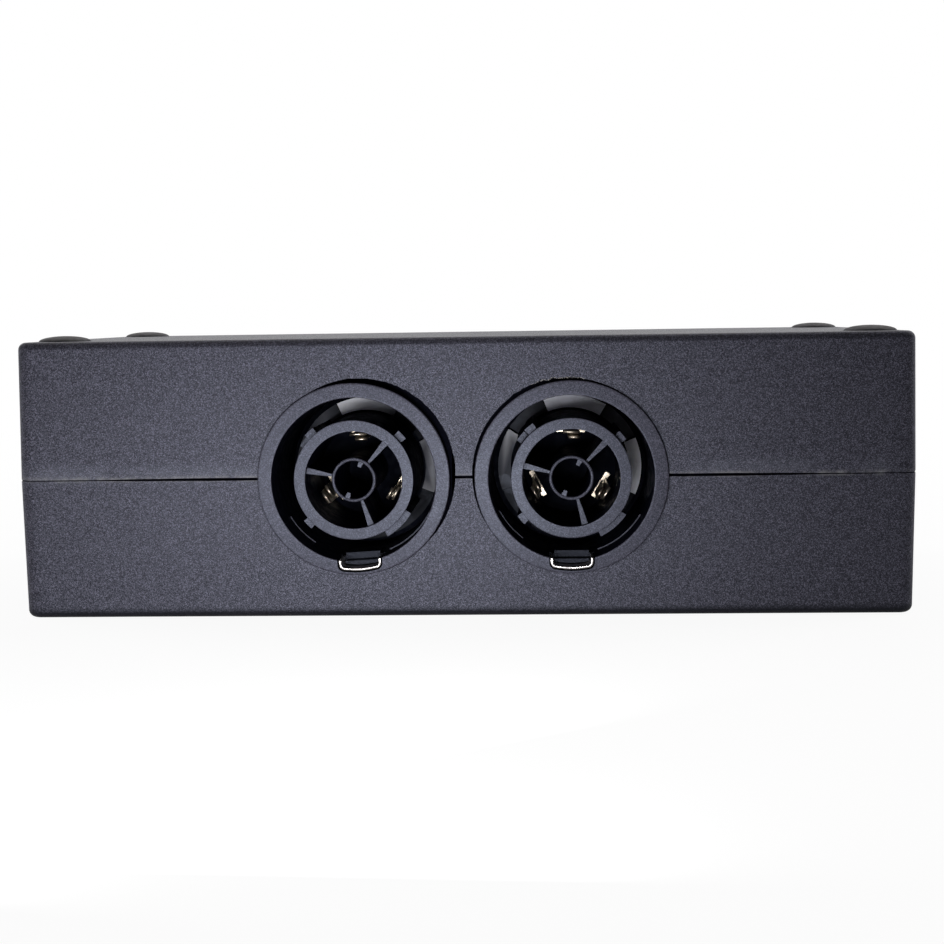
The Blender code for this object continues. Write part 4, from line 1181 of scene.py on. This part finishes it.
def insert_body():
    """The turned part of an insert: ring, centre tube, base and hub."""
    soft = INSERT_ROUND
    thin = TUBE_WALL / 2
    face = INSERT_SETBACK
    held = soft * FLAT_FROM
    tube_held = TUBE_SETBACK + thin * FLAT_FROM
    outline = [(0.0, SECTOR_END), (TUBE_BORE, SECTOR_END), (TUBE_BORE, tube_held)]
    outline += rounded_corner(TUBE_BORE + thin, TUBE_SETBACK + thin, thin, 180.0, 360.0, 8)
    outline += [(TUBE_RADIUS, tube_held), (TUBE_RADIUS, SECTOR_END)]
    outline += [(SECTOR_RADIUS, SECTOR_END), (SECTOR_RADIUS, face + held)]
    outline += rounded_corner(SECTOR_RADIUS + soft, face + soft, soft, 180.0, 270.0)
    outline += [(SECTOR_RADIUS + held, face), (INSERT_RADIUS - held, face)]
    outline += rounded_corner(INSERT_RADIUS - soft, face + soft, soft, 270.0, 360.0)
    outline += [(INSERT_RADIUS, face + held), (INSERT_RADIUS, BASE_FRONT)]
    outline += [(BORE_RADIUS - SEAT_GAP, BASE_FRONT), (BORE_RADIUS - SEAT_GAP, BASE_BACK)]
    outline += [(HUB_RADIUS, BASE_BACK), (HUB_RADIUS, BODY_END), (HUB_RADIUS - CLIP_GROOVE, BODY_END)]
    groove_end = BODY_END + 2 * SEAT_GAP + CLIP_THICKNESS
    outline += [(HUB_RADIUS - CLIP_GROOVE, groove_end), (HUB_RADIUS, groove_end), (HUB_RADIUS, HUB_END)]
    outline += [(0.0, HUB_END)]
    return turned(outline)


def rib():
    """A rib from the tube out to the ring: thin inside and thick outside, drawn along +X."""
    inner, outer = TUBE_RADIUS - TUBE_WALL / 2, SECTOR_RADIUS + EMBED
    thin, thick = RIB_THIN / 2, RIB_THICK / 2
    outline = [(inner, -thin), (outer, -thick), (outer, thick), (inner, thin)]
    return prism(outline, RIB_SETBACK, SECTOR_END + EMBED)


def painted_light_at(painted_light_table, degree):
    """How pale the painted light and shade on the lands is at an angle, between the angles that are given.
    """
    spots = sorted(painted_light_table)
    degree = (degree - spots[0][0]) % 360.0 + spots[0][0]
    again = (spots[0][0] + 360.0, spots[0][1])
    for (start, low), (end, high) in zip(spots, spots[1:] + [again]):
        if start <= degree <= end:
            return low + (high - low) * (degree - start) / (end - start)
    return spots[0][1]


def insert(painted_light_table):
    """The insert: a ring round three sectors, with ribs to a centre tube, lugs, lands and slots."""
    made = insert_body()
    join(made, spun_copies(rib(), "ribs", FIRST_RIB, "insert"))
    half = LUG_WIDTH / INSERT_RADIUS * 90.0 / pi
    lugs = [(angle - half, angle + half, LUG_HEIGHT, LUG_SETBACK) for angle in LUG_ANGLES]
    lugs += [(*LONG_LUG, LUG_HEIGHT, LUG_SETBACK), LUG_STEP]
    for start, end, height, setback in lugs:
        inner, outer = INSERT_RADIUS - EMBED, INSERT_RADIUS + height
        join(made, sector(inner, outer, start, end, setback, BASE_FRONT + EMBED))
    inner, outer = INSERT_RADIUS + LAND_INSIDE, INSERT_RADIUS + LAND_OUTSIDE
    for floors, rise in ((LANDS, LAND_RISE), (HOLLOWS, HOLLOW_RISE)):
        for start, end in floors:
            join(made, sector(inner, outer, start, end, BASE_FRONT - rise, BASE_FRONT + EMBED))
    for angle in TOOTH_ANGLES:
        low, high = TUBE_BORE - TOOTH_HEIGHT, TUBE_BORE + TUBE_WALL / 2
        crest, foot = TOOTH_HEIGHT / 3, TOOTH_HEIGHT / 2
        tooth = [(low, -crest), (high, -foot), (high, foot), (low, crest)]
        join(made, at_angle(prism(tooth, TUBE_SETBACK + SNUG_GAP, SECTOR_END + EMBED), angle))
    thick, wide = CONTACT_THICKNESS / 2 + SNUG_GAP, CONTACT_WIDTH / 2 + SNUG_GAP
    low, high = (CONTACT_RADIUS - thick, -wide), (CONTACT_RADIUS + thick, wide)
    slot = [low, (high[0], low[1]), high, (low[0], high[1])]
    for number in range(POLES):
        angle = FIRST_POLE + POLE_PITCH * number
        cut(made, at_angle(prism(slot, SECTOR_END - WALL, HUB_END + WALL), angle))

    def finish_of(centre, normal):
        if normal.y < FACES_OUT and centre.y < LUG_SETBACK + 2 * RIB_SETBACK:
            return 0
        outside = hypot(centre.x, centre.z) > INSERT_RADIUS
        on_land = SECTOR_END - LAND_RISE < centre.y < BASE_FRONT - HOLLOW_RISE / 2
        # Faces deeper in the sectors and the tube take the socket finish, which is painted shade
        return 2 if normal.y < FACES_FRONT and outside and on_land else 1

    dress(made, "insert", "socket", "land", rule=finish_of)
    # Painted highlights and painted shade on the lands, stored on each point by its angle
    sheen = made.data.attributes.new("sheen", "FLOAT", "POINT")
    for corner, value in zip(made.data.vertices, sheen.data):
        value.value = painted_light_at(painted_light_table, degrees(atan2(corner.co.z, corner.co.x)))
    return made


def keeper():
    """The latch keeper: a polished steel strip bent to a shallow U, with softened edges."""
    half = KEEPER_WIDTH / 2
    radius = RING_RADIUS - KEEPER_FROM_EDGE
    crest = -sqrt(BORE_RADIUS**2 - half**2)
    thin = KEEPER_THICKNESS
    outer = keeper_loop(half, radius, KEEPER_CORNER, crest)
    inner = keeper_loop(half - thin, radius - thin, KEEPER_CORNER - thin, crest)
    strip = prism(outer + inner[::-1], SNUG_GAP, NOTCH_END - SNUG_GAP)
    return bevelled(strip, KEEPER_ROUND, KEEPER_SEGMENTS, KEEPER_SHARP)


def leaf(path, halves, thickness, bow=0.0):
    """A strip of sheet metal along (radius, depth) points, with its own half widths, bowed across."""
    loops = []
    for index, (point, half) in enumerate(zip(path, halves)):
        before, after = path[max(index - 1, 0)], path[min(index + 1, len(path) - 1)]
        along = (Vector(after) - Vector(before)).normalized()
        across = Vector((-along.y, along.x)) * thickness / 2
        loop = []
        for edge, shares in ((across, LEAF_COLUMNS), (-across, LEAF_COLUMNS[::-1])):
            spot = Vector(point) + edge
            loop += [(spot.x, spot.y + bow * share**2, half * share) for share in shares]
        loops.append(loop)
    return lofted(loops)


def contact():
    """A brass contact along +X: two sprung leaves with rolled tips in front, and the tab behind."""
    half = CONTACT_WIDTH / 2
    root = SECTOR_END + EMBED
    made = leaf([(CONTACT_RADIUS, root), (CONTACT_RADIUS, TAB_END)], (half, half), CONTACT_THICKNESS)
    for side, mouth, setback, half, shift in LEAVES:
        stand = CONTACT_RADIUS + side * LEAF_STAND
        path = [(stand, root + LEAF_ROOT / 2), (stand, root - LEAF_ROOT)]
        path += [(mouth - side * LEAF_ROLL, setback + LEAF_MOUTH)]
        for step in range(LEAF_STEPS + 1):
            angle = radians(LEAF_TURN * step / LEAF_STEPS)
            out, back = LEAF_ROLL * (1 - cos(angle)), LEAF_ROLL * (1 - sin(angle))
            path.append((mouth - side * LEAF_ROLL + side * out, setback + back))
        widths = [half] * 4 + [half * LEAF_TIP] * (len(path) - 4)
        tip = leaf(path, widths, LEAF_THICKNESS, LEAF_BOW)
        tip.data.transform(Matrix.Translation((0.0, 0.0, shift)))
        join(made, tip)
    return smoothed(made, SMOOTH_CONTACT)


def torn_edge(name, start, end):
    """Pale burrs along the edge of a hand-cut opening, between two angles, on the case's front."""
    drop = PARTING - CONNECTORS[name][0][2]
    edge = cutout_outline(name)[start:end]
    spots = [(x, RING_PROUD + DRAFT * (z - drop), z + BORE_DROP) for x, z in edge]
    line = bpy.data.meshes.new("torn_edge")
    line.from_pydata(spots, [(index, index + 1) for index in range(len(spots) - 1)], [])
    return placed(run_tree(crumbs_tree(), "torn_edge", {"Finish": FINISHES["crumb"]}, line), name)


named(torn_edge("outlet_right", 82, 114), "torn_edge", None)

for name, (_, _, roll) in CONNECTORS.items():
    body = barrel(roll)
    core = at_angle(insert(PAINTED_LAND_LIGHT[name]), roll)
    latch = dress(at_angle(keeper(), roll), "keeper")
    for part, made in (("barrel", body), ("insert", core), ("keeper", latch)):
        piece = placed(smoothed(made, SMOOTH_CONNECTOR), name)
        named(piece, f"{LABELS[name]}_{part}", part, f"{name}_{part}")
    brass = placed(spun_copies(contact(), "brass", FIRST_POLE + roll, "contact"), name)
    poles = [f"{name}_contact_{pole}" for pole in ("line", "neutral", "earth")]
    named(brass, f"{LABELS[name]}_contacts", "contact", *poles)


# Carried CAD nodes


KINDS = {"case_screw": "screw", "_clip": "clip", "_sleeve_": "sleeve", "_wire_": "wire_"}
for node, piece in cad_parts.items():
    for part, kind in KINDS.items():
        if part in node:
            finish = FINISHES[kind + node.rsplit("_", 1)[1] if kind == "wire_" else kind]
            for slot in piece.material_slots:
                slot.material = finish


# Floor, light and camera


SHADOWED_FLOOR = 0.93
MIRRORED_FLOOR = 0.22
MIRRORED_BACKDROP = 0.80
FADE_START = 0.14
FADE_END = 0.36
FLOOR_HALF = 2.0
FLOOR_LEVEL = -0.0001
WORLD_LEVEL = 0.10
BACKDROP_SLOPE = 3.0
BACKDROP_START = -1.2
FILLS = ("overhead", "right_fill", "rear_fill", "left_fill")

# Lamps: place, point it looks at, size and power
LAMPS = {
    "low_card": ((-0.015, -0.130, 0.0080), (-0.010, -0.030, 0.0185), (0.06, 0.01), 0.037),
    "left_card": ((-0.055, -0.130, 0.0080), (-0.030, -0.030, 0.0185), (0.05, 0.01), 0.034),
    "near_card": ((0.000, -0.100, 0.0110), (-0.050, -0.030, 0.0185), (0.04, 0.01), 0.027),
    "overhead": ((0.000, 0.250, 0.5000), (0.000, 0.000, 0.0370), (0.40, 0.40), 1.0),
    "right_fill": ((0.450, 0.150, 0.2000), (0.000, 0.000, 0.0200), (0.30, 0.30), 2.0),
    "rear_fill": ((0.050, 0.480, 0.0180), (0.000, 0.000, 0.0180), (0.30, 0.03), 1.6),
    "left_fill": ((-0.450, 0.150, 0.1500), (0.000, 0.000, 0.0200), (0.30, 0.30), 2.0),
}

# Camera, solved from the photograph: lengths in pixels, its place, and pitch, yaw and roll
IMAGE_SIDE = 944.0
FOCAL_PIXELS = 1600.0
CAMERA_PLACE = (0.0114, -0.2414, 0.0404)
CAMERA_ANGLES = (5.65, -2.73, 0.84)


def seen_by(tree, level):
    """Two masks: what the camera sees, and what mirrors and glass see, at a level."""
    rays = add(tree, "ShaderNodeLightPath").outputs
    mirrored = calc("MAXIMUM", rays["Is Glossy Ray"], rays["Is Transmission Ray"])
    return rays["Is Camera Ray"], calc("MULTIPLY", mirrored, level)


def show_white(tree, mask, lit, white, output):
    """Shows white instead of what is lit, where a mask says so."""
    mix = add(tree, "ShaderNodeMixShader", {0: mask, 1: lit.outputs[0], 2: white.outputs[0]})
    feed(tree, tree.nodes[output], {"Surface": mix.outputs[0]})


def stage_finish():
    """White floor: the camera and mirrors see it white, fading to pure white away from the object."""
    finish = Finish("white_floor", (0.22, 0.22, 0.22), roughness=0.9, specular=0.1)
    tree = finish.tree
    camera, mirrored = seen_by(tree, MIRRORED_FLOOR)
    finish.paint(camera, (0.85, 0.85, 0.85))
    reach = add(tree, "ShaderNodeVectorMath", {0: own_place(tree)}, operation="LENGTH").outputs["Value"]
    near = finish.ranged(reach, SHADOWED_FLOOR, 1.0, FADE_START, FADE_END)
    seen = calc("MAXIMUM", calc("MULTIPLY", camera, near), mirrored)
    white = add(tree, "ShaderNodeEmission", {"Color": WHITE})
    show_white(tree, seen, finish.shader, white, "Material Output")
    return finish.material


def world_light():
    """A dim white room with a white backdrop behind the object, which the camera and mirrors see."""
    world = bpy.data.worlds.new("studio")
    bpy.context.scene.world = world
    world.use_nodes = True
    tree = world.node_tree
    lit = feed(tree, tree.nodes["Background"], {"Color": WHITE, "Strength": WORLD_LEVEL})
    white = add(tree, "ShaderNodeBackground", {"Color": WHITE, "Strength": 1.0})
    depth = split(add(tree, "ShaderNodeTexCoord").outputs["Generated"])["Y"]
    behind = calc("MULTIPLY_ADD", depth, BACKDROP_SLOPE, BACKDROP_START)
    camera, mirrored = seen_by(tree, limited(behind, MIRRORED_BACKDROP))
    show_white(tree, calc("MAXIMUM", camera, mirrored), lit, white, "World Output")


def area_light(name, place, target, size, power):
    """A soft light that looks at a point. The fills leave no glare of their own."""
    data = bpy.data.lights.new(name, "AREA")
    data.shape = "RECTANGLE"
    data.size, data.size_y = size
    data.energy = power
    lamp = linked(bpy.data.objects.new(name, data))
    lamp.location = place
    lamp.rotation_euler = (Vector(target) - Vector(place)).to_track_quat("-Z", "Y").to_euler()
    lamp.visible_camera = False
    lamp.visible_glossy = name not in FILLS


def photograph_camera():
    """The camera where the photograph was taken from."""
    data = bpy.data.cameras.new("camera")
    data.sensor_width = 36.0
    data.lens = FOCAL_PIXELS / IMAGE_SIDE * data.sensor_width
    data.clip_start = 0.01
    pitch, yaw, roll = (radians(angle) for angle in CAMERA_ANGLES)
    forward = Vector((sin(yaw) * cos(pitch), cos(yaw) * cos(pitch), -sin(pitch)))
    right = Vector((cos(yaw), -sin(yaw), 0.0))
    up = right.cross(forward)
    turned_right = right * cos(roll) - up * sin(roll)
    turned_up = right * sin(roll) + up * cos(roll)
    matrix = Matrix((turned_right, turned_up, -forward)).transposed().to_4x4()
    matrix.translation = CAMERA_PLACE
    camera = linked(bpy.data.objects.new("camera", data))
    camera.matrix_world = matrix
    bpy.context.scene.camera = camera


photograph_camera()

ground = object_from(bmesh.new(), "floor")
sides = [(x * FLOOR_HALF, y * FLOOR_HALF, FLOOR_LEVEL) for x, y in ((-1, -1), (1, -1), (1, 1), (-1, 1))]
ground.data.from_pydata(sides, [], [(0, 1, 2, 3)])
ground.data.materials.append(stage_finish())

world_light()
for name, (place, target, size, power) in LAMPS.items():
    area_light(name, place, target, size, power)

bpy.context.scene.view_settings.view_transform = "Standard"
